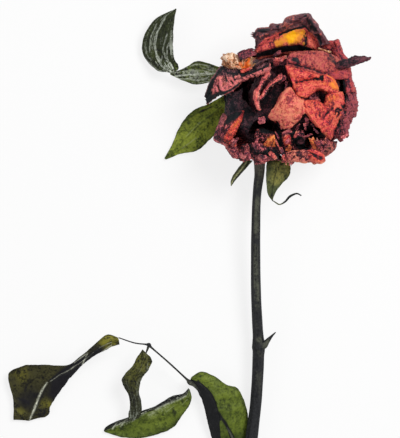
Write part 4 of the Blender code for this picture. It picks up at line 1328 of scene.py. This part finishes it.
# %% Stations of the blades
BLADE_STATIONS = {}
BLADE_STATIONS["upper_terminal_leaflet"] = (
    (96,691,70, 101,668,70, 91,640,70),
    (37,712,90, 37,658,80, 27,622,75),
    (-14,721,100, -14,653,85, -23,615,80),
    (-55,698,95, -64,658,85, -73,631,80),
    (-91,680,90, -100,661,85, -105,645,80),
    (-130,668,98, -132,666,85, -135,664,72),
    (-169,672,80, -148,676,90, -101,679,96),
    (-206,687,60, -181,706,80, -100,702,112),
    (-248,729,45, -201,755,70, -112,729,110),
    (-266,789,40, -208,814,70, -121,788,110),
    (-247,856,55, -187,873,80, -121,852,110),
    (-201,916,80, -155,924,95, -117,902,113),
    (-112,956,110, -109,959,110, -107,955,110),
)
BLADE_STATIONS["upper_side_leaflet"] = (
    (142,589,48, 147,554,50, 151,518,48),
    (96,560,50, 112,518,54, 133,472,50),
    (39,528,46, 64,481,52, 101,426,46),
    (-23,505,36, 18,435,46, 73,390,36),
    (-73,459,26, -23,390,40, 32,349,26),
    (-106,404,20, -64,349,30, -18,312,20),
    (-127,345,16, -110,311,22, -87,299,16),
    (-163,279,13, -161,276,13, -157,274,13),
)
BLADE_STATIONS["lower_terminal_leaflet"] = (
    (-373,-539,142, -368,-550,140, -366,-571,135),
    (-418,-524,155, -409,-554,155, -396,-580,130),
    (-454,-547,155, -445,-576,155, -437,-601,125),
    (-495,-584,145, -486,-602,150, -482,-621,125),
    (-546,-626,130, -536,-638,140, -529,-659,110),
    (-596,-663,120, -587,-671,125, -566,-696,95),
    (-657,-668,105, -647,-707,105, -604,-741,70),
    (-731,-665,85, -699,-747,80, -637,-784,50),
    (-815,-673,60, -728,-787,60, -665,-826,35),
    (-881,-715,40, -750,-839,45, -687,-863,26),
    (-858,-831,30, -771,-890,32, -689,-889,20),
    (-858,-922,20, -785,-927,24, -708,-908,16),
)
BLADE_STATIONS["lower_hanging_leaflet"] = (
    (-263,-595,146, -261,-593,148, -259,-595,146),
    (-286,-627,145, -254,-631,158, -225,-629,145),
    (-309,-668,135, -268,-668,150, -216,-657,135),
    (-341,-705,125, -291,-705,140, -246,-701,125),
    (-358,-738,115, -309,-742,130, -271,-747,115),
    (-333,-784,105, -303,-783,125, -278,-789,108),
    (-319,-830,98, -292,-834,115, -269,-830,100),
    (-324,-881,92, -292,-885,105, -265,-872,96),
    (-331,-918,88, -306,-922,92, -279,-909,90),
)
BLADE_STATIONS["lower_left_leaflet"] = (
    (-53,-773,74, -50,-777,74, -48,-780,74),
    (-78,-798,75, -64,-809,75, -38,-817,65),
    (-128,-810,70, -105,-830,72, -48,-856,55),
    (-174,-838,62, -151,-849,65, -83,-904,40),
    (-215,-863,55, -202,-873,55, -119,-955,22),
    (-266,-880,46, -257,-892,46, -193,-988,16),
    (-330,-911,34, -321,-927,34, -271,-1007,13),
    (-386,-930,24, -377,-948,26, -349,-1005,12),
    (-432,-956,16, -427,-970,17, -414,-987,12),
    (-441,-975,14, -440,-976,14, -438,-979,13),
)
BLADE_STATIONS["lower_right_leaflet"] = (
    (-37,-722,80, -43,-731,82, -46,-740,80),
    (5,-697,84, -5,-740,90, -25,-764,75),
    (59,-715,80, 32,-765,90, -5,-801,68),
    (119,-755,70, 64,-801,90, 14,-846,66),
    (174,-776,56, 82,-859,86, 27,-897,58),
    (209,-848,42, 94,-923,76, 39,-953,48),
    (225,-923,30, 98,-989,56, 55,-1009,36),
    (220,-1006,22, 110,-1055,34, 78,-1066,24),
    (184,-1080,15, 142,-1103,15, 124,-1108,14),
    (161,-1126,13, 159,-1131,13, 156,-1133,13),
)
BLADE_STATIONS["sepal_right"] = (
    (306,279,235, 329,279,245, 356,284,235),
    (298,243,246, 346,243,260, 403,252,240),
    (297,203,248, 344,198,256, 403,203,240),
    (299,162,244, 338,158,250, 374,164,236),
    (304,117,230, 326,117,236, 343,122,228),
    (321,90,215, 325,86,215, 330,90,215),
    (341,78,196, 340,76,196, 339,75,196),
    (361,68,192, 360,66,192, 360,64,192),
    (383,82,190, 386,79,190, 388,76,190),
    (404,106,192, 407,102,192, 410,98,192),
    (437,118,196, 437,115,196, 437,112,196),
    (459,107,203, 458,105,203, 457,104,203),
)
BLADE_STATIONS["sepal_left"] = (
    (207,275,234, 216,270,236, 228,266,232),
    (183,243,234, 194,234,240, 207,230,232),
    (156,208,220, 166,199,226, 177,194,218),
    (140,176,204, 147,172,208, 156,169,202),
    (139,151,196, 140,149,196, 142,150,196),
)
BLADE_STATIONS["sepal_under_right"] = (
    (304,256,172, 316,256,176, 328,256,172),
    (308,220,136, 336,220,140, 364,220,136),
    (322,180,102, 348,180,106, 374,180,102),
    (345,138,76, 350,138,80, 355,138,76),
)
BLADE_STATIONS["sepal_under_middle"] = (
    (262,248,152, 274,248,156, 286,248,152),
    (250,210,118, 270,210,122, 290,210,118),
    (246,164,86, 264,164,90, 282,164,86),
    (253,120,62, 258,120,66, 263,120,62),
)
BLADE_STATIONS["sepal_under_left"] = (
    (222,264,184, 230,264,188, 238,264,184),
    (198,240,152, 208,240,156, 218,240,152),
    (170,210,116, 180,210,120, 190,210,116),
    (152,176,90, 156,176,94, 160,176,90),
)


# %% Node group: dried leaf
LEAF_COLOURS = ("Deep", "Green", "Light", "Silver", "Dark")
LEAF_VALUES = ("Silvering", "Fresh", "Mottle")


def dried_leaf_group():
    group, nodes, given, out = new_group("dried_leaf", LEAF_COLOURS, LEAF_VALUES)
    sheet = nodes.add("ShaderNodeUVMap", {"uv_map": "sheet"}).outputs[0]
    solid = nodes.add("ShaderNodeTexCoord").outputs["Object"]
    streak = nodes.noise(nodes.stretched(sheet, (110.0, 7.0, 1.0)), 1.0, 5.0, 0.62)
    blotch = nodes.noise(solid, 210.0, 5.0, 0.66)
    wide = nodes.noise(solid, 75.0, 3.0, 0.55)
    grain = nodes.noise(solid, 1100.0, 3.0, 0.65)
    patch = nodes.noise(solid, 480.0, 2.0, 0.5)
    shade = nodes.math("SUBTRACT", blotch, 0.5)
    for texture, amount in ((patch, 0.5), (grain, 1.1), (streak, 0.5)):
        shade = nodes.sway(shade, texture, amount)
    shade = nodes.math("ADD", nodes.math("MULTIPLY", shade, given["Mottle"]), 0.4)
    # the fold mark paints shade into creases and veins, and darkens the leaf's own dark edge
    shade = nodes.math("ADD", shade, nodes.math("MULTIPLY", nodes.mark("shade_and_tone"), 0.25))
    colour = nodes.mix(nodes.ramp(shade, -0.15, 0.8), given["Deep"], given["Green"])
    # the fresh mark lightens the green: fresher patches, and painted light where a leaf lies in shade
    fresh_and_lit = nodes.math("ADD", nodes.math("MULTIPLY", wide, 0.8), nodes.mark("fresh_and_lit"))
    fresh_and_lit = nodes.math("ADD", fresh_and_lit, nodes.math("SUBTRACT", given["Fresh"], 0.5))
    lighter = nodes.math("MULTIPLY", nodes.ramp(fresh_and_lit, 0.25, 0.85), nodes.ramp(shade, 0.1, 0.8))
    colour = nodes.mix(lighter, colour, given["Light"])
    # the scorch mark darkens burnt patches and paints shade on a half that faces away from the light
    dark = nodes.sway(nodes.mark("scorch_and_shade"), grain, 0.5)
    colour = nodes.mix(nodes.ramp(dark, 0.15, 0.85), colour, given["Dark"])
    streaky = nodes.ramp(nodes.sway(streak, grain, 0.5), 0.52, 0.68)
    silver = nodes.math("MULTIPLY", streaky, nodes.math("ADD", given["Silvering"], nodes.mark("pale")))
    flecked = nodes.math("MULTIPLY", nodes.mark("vein"), nodes.ramp(grain, 0.38, 0.56, 0.3, 1.0))
    silver = nodes.math("MAXIMUM", silver, flecked, clamp=True)
    colour = nodes.mix(silver, colour, given["Silver"])
    nodes.put(out["Color"], colour)
    nodes.put(out["Roughness"], nodes.ramp(shade, 0.0, 1.0, 0.7, 0.45))
    relief = nodes.math("ADD", nodes.math("MULTIPLY", streak, 0.6), nodes.math("MULTIPLY", grain, 0.5))
    nodes.put(out["Height"], relief)
    return group


DRIED_LEAF = dried_leaf_group()
print("node group", DRIED_LEAF.name)

# %% Leaf finishes
LEAF_FINISHES = {
    # name: deep, green, light, silver, dark, then silvering, fresh, mottle
    "leaf_fresh": ((34,40,18), (62,76,25), (106,120,42), (206,212,188), (14,15,17), 0, 0.5, 1),
    "leaf_bright": ((44,52,24), (78,92,34), (140,152,54), (206,212,188), (14,15,17), 0, 0.5, 1.1),
    "leaf_olive": ((14,13,10), (60,58,30), (120,116,40), (214,216,196), (15,14,19), 0, 0.34, 2.2),
    "leaf_grey": ((12,14,10), (46,52,30), (86,98,42), (192,198,184), (26,28,26), 0.26, 0.4, 1.6),
    "leaf_worn": ((14,14,10), (48,50,32), (96,96,36), (150,156,142), (24,24,24), 0.16, 0.3, 1.8),
    "sepal_green": ((34,38,26), (76,84,52), (136,132,68), (190,192,140), (20,22,20), 0.06, 0.5, 1.3),
}

LEAVES = {
    name: group_finish(name, DRIED_LEAF, settings, shine=0.14, relief=0.5, depth=0.35)
    for name, settings in LEAF_FINISHES.items()
}
print("leaf finishes:", ", ".join(LEAVES))


# %% Make one blade
BLADE_THICK = 0.3
BLADE_GAP = 0.3  # between the lowest leaflets and the table
EDGE_TEETH, EDGE_RAG = 22, 0.03  # number and depth of the nicks along each edge
LOOSE_WIDTH = 9.0  # a blade narrower than this is too stiff to crumple fully


def half_blades(stations):
    """A place function for a blade: straight from the midrib out to each edge."""
    stations = np.reshape(stations, (-1, 9)) * TENTH

    def place(u, v):
        left, rib, right = np.split(on_line(stations, u), 3, axis=-1)
        edge = np.where(v[..., None] < 0, left, right)
        return rib + (edge - rib) * np.abs(v)[..., None]

    return place


def blade(name, slot, finish, seed, stations, bulge=0.5, veins=9, crease=0.5, dark=(0.0, 0.0), fresh_and_lit=(),
          scorch_and_shade=(), pale=(), lines=(), rib_pale=0.3, rib_width=0.04, grid=(130, 52), waves=0.4):
    """Make one leaflet or sepal on its stations.

    bulge, waves and crease say how much its halves swell, wave at the edges and crumple. veins is
    the number of side veins, and rib_pale and rib_width the look of the midrib. dark is how much
    darker the left and the right half are: the underside of a folded half, with painted shade on the half
    that faces away from the light. fresh, scorch and pale are spots, and lines are drawn on it; the fresh
    spots also paint light where a leaf lies in shade.
    """
    u, v = np.meshgrid(np.linspace(0, 1, grid[0]), np.linspace(-1, 1, grid[1] + 1), indexing="ij")
    right_half = v > 0
    narrow = ragged(u + right_half * 3.0, EDGE_TEETH, EDGE_RAG, seed)
    smooth = half_blades(stations)(u, v * (1 - narrow))
    facing = face_directions(smooth)
    side = np.abs(v)
    comb = (u * veins - side * 1.1) % 1.0
    vein = bell(comb - 0.5, 0.07) * smooth_step(1.0, 0.7, side) * smooth_step(0.0, 0.15, side)
    rib = bell(v, rib_width)
    width = np.linalg.norm(smooth[:, 0] - smooth[:, -1], axis=-1)[:, None]
    loose = np.clip(width / LOOSE_WIDTH, 0.05, 1.0)
    mid, small = crease_at(smooth, 6.0, seed), crease_at(smooth, 2.2, seed + 4)
    tiny = crease_at(smooth, 1.1, seed + 6)
    wave = noise_at(on_sheet(u * 7, v * 0.8, seed * 1.3), 1.0, seed + 8)
    drawn = lines_at(smooth, lines) * (0.85 + 0.5 * noise_at(smooth, 2.4, seed + 12))
    lift = crease * (0.7 * (mid - 0.4) + 0.32 * (small - 0.4) + 0.1 * (tiny - 0.4)) - 0.12 * vein
    lift = loose * (lift + bulge * 4.8 * side * (1 - side) + waves * 3.0 * wave * side**2 + 0.3 * rib)
    points = smooth + facing * (lift - 0.3 * drawn * loose)[..., None]
    points = above_table(points, BLADE_GAP)
    shade_and_tone = 0.5 * mid + 0.4 * small + 0.2 * tiny - 0.7 * vein - 0.9 * smooth_step(0.88, 1.0, side)
    # the darker half is partly the underside's own colour and partly painted shade
    shaded_half = np.where(right_half, dark[1], dark[0]) * smooth_step(0.02, 0.12, side)
    marks = {
        "shade_and_tone": np.clip(shade_and_tone, -1, 1.2),
        "vein": np.clip(rib * rib_pale + np.clip(-drawn, 0, 1), 0, 1),
        "fresh_and_lit": spots_at(points, fresh_and_lit),
        "pale": spots_at(points, pale),
        "scorch_and_shade": shaded_half + spots_at(points, scorch_and_shade) + np.clip(drawn, 0, 1),
    }
    piece = add_piece(sheet_mesh(name, points, marks), name, LEAVES[finish])
    thicken(piece, BLADE_THICK)


# %% The leaflets and sepals
BLADES = {
    # name: slot, finish, looks
    "upper_terminal_leaflet": ("leaf_green", "leaf_grey", dict(
        veins=8, rib_pale=0.9, rib_width=0.03, crease=0.45,
        fresh_and_lit=((-9.1, 65.8, 5, 0.7), (-3.7, 64.4, 6, 0.7), (2.3, 64.4, 6, 0.6), (7.3, 65.8, 5, 0.6)),
        pale=((-12.8, 68.1, 4, 0.7), (-16.9, 70.8, 4, 0.6), (-21.5, 73.6, 3.5, 0.5),
              (-10.1, 66.3, 3, 0.7), (-4.6, 65.3, 4, 0.6), (2.3, 65.3, 6, 0.6), (7.3, 66.3, 4, 0.5),
              (-13.7, 77.2, 3, 0.3)),
    )),
    "upper_side_leaflet": ("leaf_green", "leaf_bright", dict(
        veins=8, bulge=0.7, rib_pale=0.0, crease=0.7,
        # its fresh spots by the bloom are painted light over the bloom's shadow on this leaflet
        fresh_and_lit=((-10.1, 31.5, 5, 0.9), (-4.6, 37, 6, 0.75), (2.3, 43, 6, 0.7), (7.3, 47.5, 5, 0.8),
               (11.9, 53.9, 6, 1)),
        scorch_and_shade=((-1.8, 31.5, 3, 0.4), (-6.4, 42.5, 2, 0.3), (2.3, 48.9, 2.5, 0.3)),
    )),
    "lower_terminal_leaflet": ("leaf_olive", "leaf_olive", dict(
        crease=0.6, dark=(0.0, 0.3), rib_pale=0.0, waves=0.15,
        scorch_and_shade=((-79.5, -83.6, 6, 0.7), (-74, -77.2, 5, 0.35), (-60.3, -70.8, 5, 0.8),
                (-64, -75.4, 4.5, 0.7), (-66.3, -80.9, 3.5, 0.5), (-53, -64.4, 4, 0.6),
                (-47.5, -59, 4, 0.6), (-55.8, -67.2, 4, 0.6), (-85, -73.6, 3, 0.4),
                (-71.3, -88.2, 2.5, 0.3)),
        fresh_and_lit=((-82.3, -71.3, 5, 0.3), (-70.8, -86.4, 4, 0.5), (-38.8, -55.8, 4, 0.7),
               (-43.9, -55.8, 4, 0.4), (-82.3, -88.2, 3, 0.4)),
    )),
    "lower_hanging_leaflet": ("leaf_olive", "leaf_worn", dict(
        veins=8, crease=0.7, rib_pale=0.0,
        fresh_and_lit=((-26, -65.3, 5, 0.7), (-31.1, -71.7, 4, 0.4), (-28.3, -77.2, 4, 0.2)),
        pale=((-24.2, -70.8, 3, 0.5), (-30.2, -82.7, 4, 0.3), (-31.5, -88.2, 4, 0.6),
              (-28.8, -90.9, 3, 0.5)),
    )),
    "lower_left_leaflet": ("leaf_green", "leaf_fresh", dict(
        dark=(0.75, 0.0), rib_pale=0.2, rib_width=0.05,
        fresh_and_lit=((-18.3, -89.6, 7, 0.4), (-27.4, -95.5, 6, 0.3), (-9.1, -84.5, 5, 0.5),
               (-38.8, -96.4, 4, 0.3)),
        pale=((-32.9, -90.9, 3, 0.8), (-36.6, -93.2, 3.4, 0.9), (-16, -83.6, 4, 0.6),
              (-8.2, -80, 4, 0.7), (-22.8, -87.3, 3, 0.5)),
    )),
    "lower_right_leaflet": ("leaf_green", "leaf_fresh", dict(
        dark=(0.0, 1.1), rib_pale=0.0, waves=0.3,
        fresh_and_lit=((2.3, -72.7, 5, 0.5), (12.8, -80.4, 7, 0.4), (18.3, -91.9, 6, 0.3)),
    )),
    "sepal_right": ("sepal_green", "sepal_green", dict(
        veins=5, rib_pale=0.0, grid=(160, 30),
        fresh_and_lit=((37, 23.3, 4, 0.8), (33.4, 17.8, 3, 0.4)),
        scorch_and_shade=((31.5, 27, 2.5, 0.5), (31.1, 19.7, 2, 0.4), (32, 8.7, 3, 0.5), (39.3, 8.7, 3.5, 0.9),
                (42, 11, 3.5, 0.9), (45.2, 11.4, 3, 0.7)),
    )),
    "sepal_left": ("sepal_green", "sepal_green", dict(
        veins=4, rib_pale=0.75, rib_width=0.3, dark=(0.5, 0.6), grid=(90, 20),
    )),
    "sepal_under_right": ("sepal_green", "sepal_green", dict(veins=4, grid=(60, 20))),
    "sepal_under_middle": ("sepal_green", "sepal_green", dict(veins=4, grid=(60, 20))),
    "sepal_under_left": ("sepal_green", "sepal_green", dict(veins=4, grid=(60, 16))),
}

# %% Dark and pale lines on the leaves: half width, strength (below zero is pale) and places
LEAF_LINES = {}
LEAF_LINES["upper_terminal_leaflet"] = (
    (2.2,-1.2, -128,672, -169,695, -197,740, -203,795, -192,855, -155,919),
    (2,-0.9, -119,681, -146,727, -146,781, -128,836), (2,-1, -123,667, -192,681, -233,717),
    (2,-0.8, -174,717, -165,781, -146,845), (3.5,0.7, -183,690, -219,727, -238,781, -228,845),
    (3.5,0.7, -155,717, -178,772, -174,836, -151,900), (3.5,0.6, -133,736, -137,818),
    (2,-0.7, -228,763, -224,827, -197,891), (3.4,-1.8, -110,653, -46,660, 18,663, 82,667),
    (2.2,-0.9, -110,640, -64,640, -18,649), (3,0.6, -46,690, 23,681, 73,663),
    (2.2,-0.8, -46,699, -9,708, 46,699), (9,-0.5, -64,672, 0,681, 64,681),
    (7,-0.5, -55,640, -9,635, 37,644),
)
LEAF_LINES["upper_side_leaflet"] = (
    (5,0.5, -146,288, -82,352, 0,434, 101,516), (3,-0.3, -64,379, 0,443), (4,0.45, 0,324, 64,379),
    (4.5,0.6, -73,452, -9,489, 55,516), (3,-0.25, -82,324, -18,370),
)
LEAF_LINES["lower_terminal_leaflet"] = (
    (3.8,-1.4, -699,-748, -727,-791, -749,-845, -781,-921),
    (2.8,-0.8, -484,-608, -530,-644, -585,-681, -649,-717, -685,-740), (2.5,-0.8, -535,-663, -512,-612),
    (2.5,-0.6, -457,-585, -402,-562), (4,0.7, -699,-745, -631,-699, -548,-649, -480,-608),
    (3.5,0.5, -777,-717, -804,-791), (3.5,0.5, -850,-818, -786,-845), (3,-0.6, -448,-608, -402,-576),
    (3,-0.5, -571,-653, -512,-608),
)
LEAF_LINES["lower_hanging_leaflet"] = (
    (3.5,0.6, -260,-635, -270,-681, -292,-717, -315,-754, -302,-809, -292,-873),
    (3,-0.5, -233,-653, -242,-699, -260,-736), (3,0.5, -329,-699, -302,-727),
    (3,-0.8, -324,-855, -315,-909), (3,-0.7, -302,-882, -306,-919), (3.5,0.6, -347,-754, -320,-772),
    (3.5,0.7, -283,-791, -270,-836),
)
LEAF_LINES["lower_left_leaflet"] = (
    (4.5,-0.7, -64,-809, -110,-832, -155,-850, -201,-873), (3.5,-0.8, -247,-882, -311,-914, -366,-937),
    (5,0.9, -91,-804, -146,-827, -201,-855, -256,-877, -329,-909, -402,-941),
    (3.5,-0.8, -338,-919, -366,-955), (3,-0.8, -384,-937, -402,-964), (3.5,0.8, -375,-955, -347,-973),
)
LEAF_LINES["lower_right_leaflet"] = (
    (8,1.4, 87,-891, 119,-941, 151,-1001), (4,0.45, 27,-749, 73,-763, 128,-781),
    (5,0.8, -9,-736, 37,-781, 73,-845, 91,-919),
)
LEAF_LINES["sepal_right"] = (
    (3.5,0.7, 334,279, 343,215, 329,151, 324,105), (3,-0.3, 375,270, 384,215),
)
LEAF_LINES["sepal_left"] = (
    (3,0.6, 215,270, 174,206, 146,160),
)

for number, (name, (slot, finish, looks)) in enumerate(BLADES.items()):
    blade(name, slot, finish, 61 + number, BLADE_STATIONS[name], lines=LEAF_LINES.get(name, ()), **looks)
print("blades:", len(BLADES))

# %% [markdown]
# ## The spike
#
# One narrow petal dried into a dark roll that sticks out at the right. It is a petal like the
# rest, on a place function that rolls its sheet round a line.

# %% The rolled spike
SPIKE_LINE = (
    # x, y, z, radius
    (58.8, 66.6, 42.5, 1),
    (61.4, 67.9, 43.6, 1.5),
    (64.1, 68.5, 44.4, 1.75),
    (66.6, 69.1, 44.6, 1.7),
    (69, 69.9, 44.8, 1.8),
    (71.5, 70.4, 44.8, 1.2),
    (74, 70.7, 44.6, 0.8),
    (75.8, 71.4, 44.4, 0.25),
)


def away_from(ahead, angle):
    """The direction that points away from a line at that angle round it."""
    ahead = ahead / np.linalg.norm(ahead, axis=-1, keepdims=True)
    side = np.cross(ahead, (0.0, 0.0, 1.0))
    side /= np.linalg.norm(side, axis=-1, keepdims=True)
    up = np.cross(side, ahead)
    return side * np.cos(angle)[..., None] + up * np.sin(angle)[..., None]


ROLL_TURN = math.radians(205.0)  # to each side, so the two edges overlap at the back
ROLL_LOOSE = 0.16


def rolled(line):
    """A place function for a sheet rolled round a line, a little more than once."""
    line = np.array(line, float)

    def place(u, v):
        at = on_line(line, u)
        middle, radius = at[..., :3], at[..., 3:]
        outward = away_from(np.gradient(middle, axis=0), v * ROLL_TURN)
        return middle + outward * radius * (1 + ROLL_LOOSE * v)[..., None]

    return place


petal(
    "spike_petal", rolled(SPIKE_LINE), "petal_burgundy", 88, "petal_deep",
    crease=0.2, fine=0.8, rag=0.03, teeth=16, ripple=0.04, tone=0.22, step=0.35,
)
print("spike petal done")

# %% [markdown]
# ## Stem, hip and stalks
#
# The stem and the leaf stalks are tapering tubes. Each starts as a plain cylinder that is cut
# into rings, and the rings are carried along a smooth line. Shallow grooves run down the stem,
# because its bark shrank over the fibres inside. One mark is high between the grooves and paints the grooves
# darker, as shade,
# `pale` is where the bark was scraped, and `moss` the green strip left on the half by the bloom.

# %% Node group: dried stem
STEM_COLOURS = ("Dark", "Bark", "Green", "Pale")


def dried_stem_group():
    group, nodes, given, out = new_group("dried_stem", STEM_COLOURS)
    sheet = nodes.add("ShaderNodeUVMap", {"uv_map": "sheet"}).outputs[0]
    solid = nodes.add("ShaderNodeTexCoord").outputs["Object"]
    fibre = nodes.noise(nodes.stretched(sheet, (170.0, 8.0, 1.0)), 1.0, 4.0, 0.6)
    blotch = nodes.noise(solid, 120.0, 3.0, 0.6)
    grain = nodes.noise(solid, 1000.0, 3.0, 0.65)
    shade = nodes.math("MULTIPLY", nodes.math("SUBTRACT", grain, 0.5), 1.5)
    shade = nodes.sway(shade, fibre, 1.2)
    # the fold mark paints the grooves darker, as shade
    lit = nodes.math("MULTIPLY", nodes.mark("shade_and_tone"), 0.25)
    shade = nodes.math("ADD", nodes.math("ADD", shade, 0.45), lit)
    colour = nodes.mix(nodes.ramp(shade, 0.15, 0.75), given["Dark"], given["Bark"])
    mossy = nodes.math("MULTIPLY", nodes.ramp(blotch, 0.42, 0.62), nodes.ramp(shade, 0.2, 0.7))
    colour = nodes.mix(nodes.math("MULTIPLY", mossy, nodes.mark("moss")), colour, given["Green"])
    scraped = nodes.math("MULTIPLY", nodes.mark("pale"), nodes.ramp(shade, 0.1, 0.6))
    nodes.put(out["Color"], nodes.mix(scraped, colour, given["Pale"]))
    nodes.put(out["Roughness"], nodes.ramp(shade, 0.0, 1.0, 0.7, 0.55))
    nodes.put(out["Height"], nodes.math("ADD", fibre, nodes.math("MULTIPLY", grain, 0.6)))
    return group


DRIED_STEM = dried_stem_group()
print("node group", DRIED_STEM.name)

# %% Finishes of the stem and the hip
STEM_FINISHES = {
    # name: dark, bark, green, pale
    "stem_bark": ((8, 9, 12), (33, 34, 36), (80, 82, 70), (104, 96, 86)),
    "hip_green": ((44, 46, 36), (82, 84, 58), (104, 106, 70), (132, 116, 88)),
}
BARK, HIP = (
    group_finish(name, DRIED_STEM, colours, shine=0.16, relief=0.8, depth=0.4)
    for name, colours in STEM_FINISHES.items()
)
print("finishes:", BARK.name, HIP.name)


# %% Places along a tube, and its UV map
def felt_along(share, length, places):
    """How strongly the given places are felt at each share of a tube's length."""
    total = np.zeros(share.shape)
    for place, spread, amount in places:
        total += amount * bell((share - place) * length, spread)
    return total


GIRTH = 16.0  # every tube is this far round on its UV map


def write_tube_uv(bm, angle, along):
    """Smooth the sides of a tube and unroll them on its UV map."""
    sheet = bm.loops.layers.uv.new("sheet")
    for face in bm.faces:
        face.smooth = len(face.verts) == 4
        turns = [angle[loop.vert.index] / (2 * math.pi) for loop in face.loops]
        if max(turns) - min(turns) > 0.5:
            turns = [value + 1.0 if value < 0 else value for value in turns]
        for loop, value in zip(face.loops, turns):
            loop[sheet].uv = (value * GIRTH / UV_LENGTH, along[loop.vert.index] / UV_LENGTH)


# %% Make one tube
LOOK_AHEAD = 0.004  # the share of a line to each side over which its direction is measured
FIBRE_LENGTH, LUMP_LENGTH, FIBRES_ROUND = 40.0, 7.0, 2.4


def tube(name, finish, line, sides, rings, groove, seed, swellings=(), pale=()):
    """Make a tapering tube along (x, y, z, radius) points, closed at both ends.

    groove is the depth of its grooves as a share of the radius. Each swelling or pale place is
    (share of the length, spread in mm, amount).
    """
    line = np.array(line, float)
    bm = bmesh.new()
    bmesh.ops.create_cone(bm, cap_ends=True, segments=sides, radius1=1.0, radius2=1.0, depth=2.0)
    long_edges = [edge for edge in bm.edges if abs(edge.verts[0].co.z - edge.verts[1].co.z) > 1.0]
    bmesh.ops.subdivide_edges(bm, edges=long_edges, cuts=rings, use_grid_fill=False)
    bm.verts.ensure_lookup_table()
    shape = np.array([vert.co[:] for vert in bm.verts])
    share, angle = (shape[:, 2] + 1) / 2, np.arctan2(shape[:, 1], shape[:, 0])
    middle, plain_radius = np.split(on_line(line, share), [3], axis=1)
    length = np.linalg.norm(np.diff(line[:, :3], axis=0), axis=-1).sum()
    ahead = on_line(line, share + LOOK_AHEAD) - on_line(line, share - LOOK_AHEAD)
    ring = np.stack((np.cos(angle), np.sin(angle), share * length), -1)
    fibres = noise_at(ring * (FIBRES_ROUND, FIBRES_ROUND, 1 / FIBRE_LENGTH), 1.0, seed)
    lumps = noise_at(ring * (1, 1, 1 / LUMP_LENGTH), 1.0, seed + 2)
    radius = (1 + groove * (fibres + 0.5 * lumps)) * (1 + felt_along(share, length, swellings))
    points = middle + away_from(ahead[:, :3], angle) * plain_radius * radius[:, None]
    write_tube_uv(bm, angle, share * length)
    for vert, place in zip(bm.verts, to_frame(points)):
        vert.co = place
    bmesh.ops.recalc_face_normals(bm, faces=bm.faces)
    mesh = bpy.data.meshes.new(name)
    bm.to_mesh(mesh)
    bm.free()
    width = plain_radius[:, 0]
    strip = bell(points[:, 0] - middle[:, 0] - 0.1 * width, 0.62 * width)
    write_marks(mesh, {
        "shade_and_tone": 0.5 + fibres,
        "pale": np.clip(felt_along(share, length, pale), 0, 1),
        "moss": smooth_step(0.0, 0.5, strip - 0.25) * smooth_step(0.72, 0.5, share),
    })
    add_piece(mesh, name, finish)


# %% The stem
STEM = (
    (26.9, 26.2, 20.3, 2.7), (26.9, 20.0, 18.9, 2.3), (25.7, 8.5, 16.4, 2.0), (25.3, -14.0, 13.4, 2.1),
    (25.6, -36.5, 11.0, 2.25), (26.4, -52.0, 9.6, 2.4), (26.8, -58.5, 9.1, 2.8), (26.7, -63.5, 8.7, 2.6),
    (25.8, -81.5, 7.1, 2.6), (23.9, -98.0, 5.6, 2.8), (22.7, -107.5, 4.8, 3.0), (21.7, -122.0, 3.9, 3.0),
    (21.2, -135.5, 3.05, 3.05),
)
tube(
    "stem", BARK, STEM, sides=48, rings=420, groove=0.10, seed=5,
    swellings=((0.50, 3.0, 0.06), (0.83, 3.0, 0.08)), pale=((0.02, 9.0, 0.7),),
)
print("stem points:", len(STEM))

# %% The hip, the thorn and the leaf stalks
HIP_LINE = tuple(
    (*(BLOOM_BASE + AXIS * (0.2 - 8.0 * share)), radius)
    for share, radius in ((1.0, 2.3), (0.85, 3.0), (0.55, 4.4), (0.25, 4.4), (0.08, 3.9), (0.0, 3.2))
)
tube("hip", HIP, HIP_LINE, sides=40, rings=40, groove=0.08, seed=6)

STALKS = {
    "stem_thorn": (
        (27.2, -58.2, 9.6, 2.3), (29.2, -57.3, 9.8, 1.9), (30.5, -56.0, 10.1, 1.25),
        (31.4, -54.9, 10.3, 0.95), (32.7, -53.4, 10.7, 0.55), (34.5, -51.6, 11.2, 0.22),
    ),
    "upper_leaf_stalk": (
        (25.4, 27.4, 18.6, 0.8), (22.0, 30.0, 12.6, 0.7), (17.0, 35.0, 7.4, 0.65),
        (13.6, 42.0, 4.6, 0.6), (12.0, 52.4, 4.4, 0.6), (9.6, 67.6, 5.8, 0.45),
    ),
    "lower_leaf_stalk": (
        (17.7, -107.8, 4.6, 0.9), (15.2, -101.0, 5.0, 0.8), (8.6, -89.6, 5.4, 0.75),
        (-1.2, -77.4, 7.6, 0.75), (-4.6, -74.6, 9.0, 1.15), (-6.6, -72.6, 9.8, 0.5),
        (-14.0, -65.6, 12.0, 0.42), (-21.6, -58.8, 14.8, 0.45), (-23.2, -57.3, 15.2, 1.05),
        (-24.8, -56.9, 15.4, 0.4), (-30.0, -56.2, 15.4, 0.3), (-37.0, -53.9, 14.4, 0.26),
    ),
}
for number, (name, line) in enumerate(STALKS.items()):
    tube(name, BARK, line, sides=20, rings=120, groove=0.12, seed=15 + number)

STUB = ((-23.1, -57.0, 15.2, 0.7), (-23.9, -59.2, 15.0, 0.5), (-24.5, -60.8, 14.9, 0.28))
tube("stalk_stub", BARK, STUB, sides=12, rings=20, groove=0.1, seed=19)
print("stalks:", ", ".join(STALKS), "and stalk_stub")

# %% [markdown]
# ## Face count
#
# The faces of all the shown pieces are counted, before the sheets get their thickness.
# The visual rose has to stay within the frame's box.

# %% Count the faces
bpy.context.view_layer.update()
pieces = [thing for thing in bpy.context.scene.objects if thing.type == "MESH" and not thing.hide_render]
print("faces before thickness:", sum(len(piece.data.polygons) for piece in pieces))
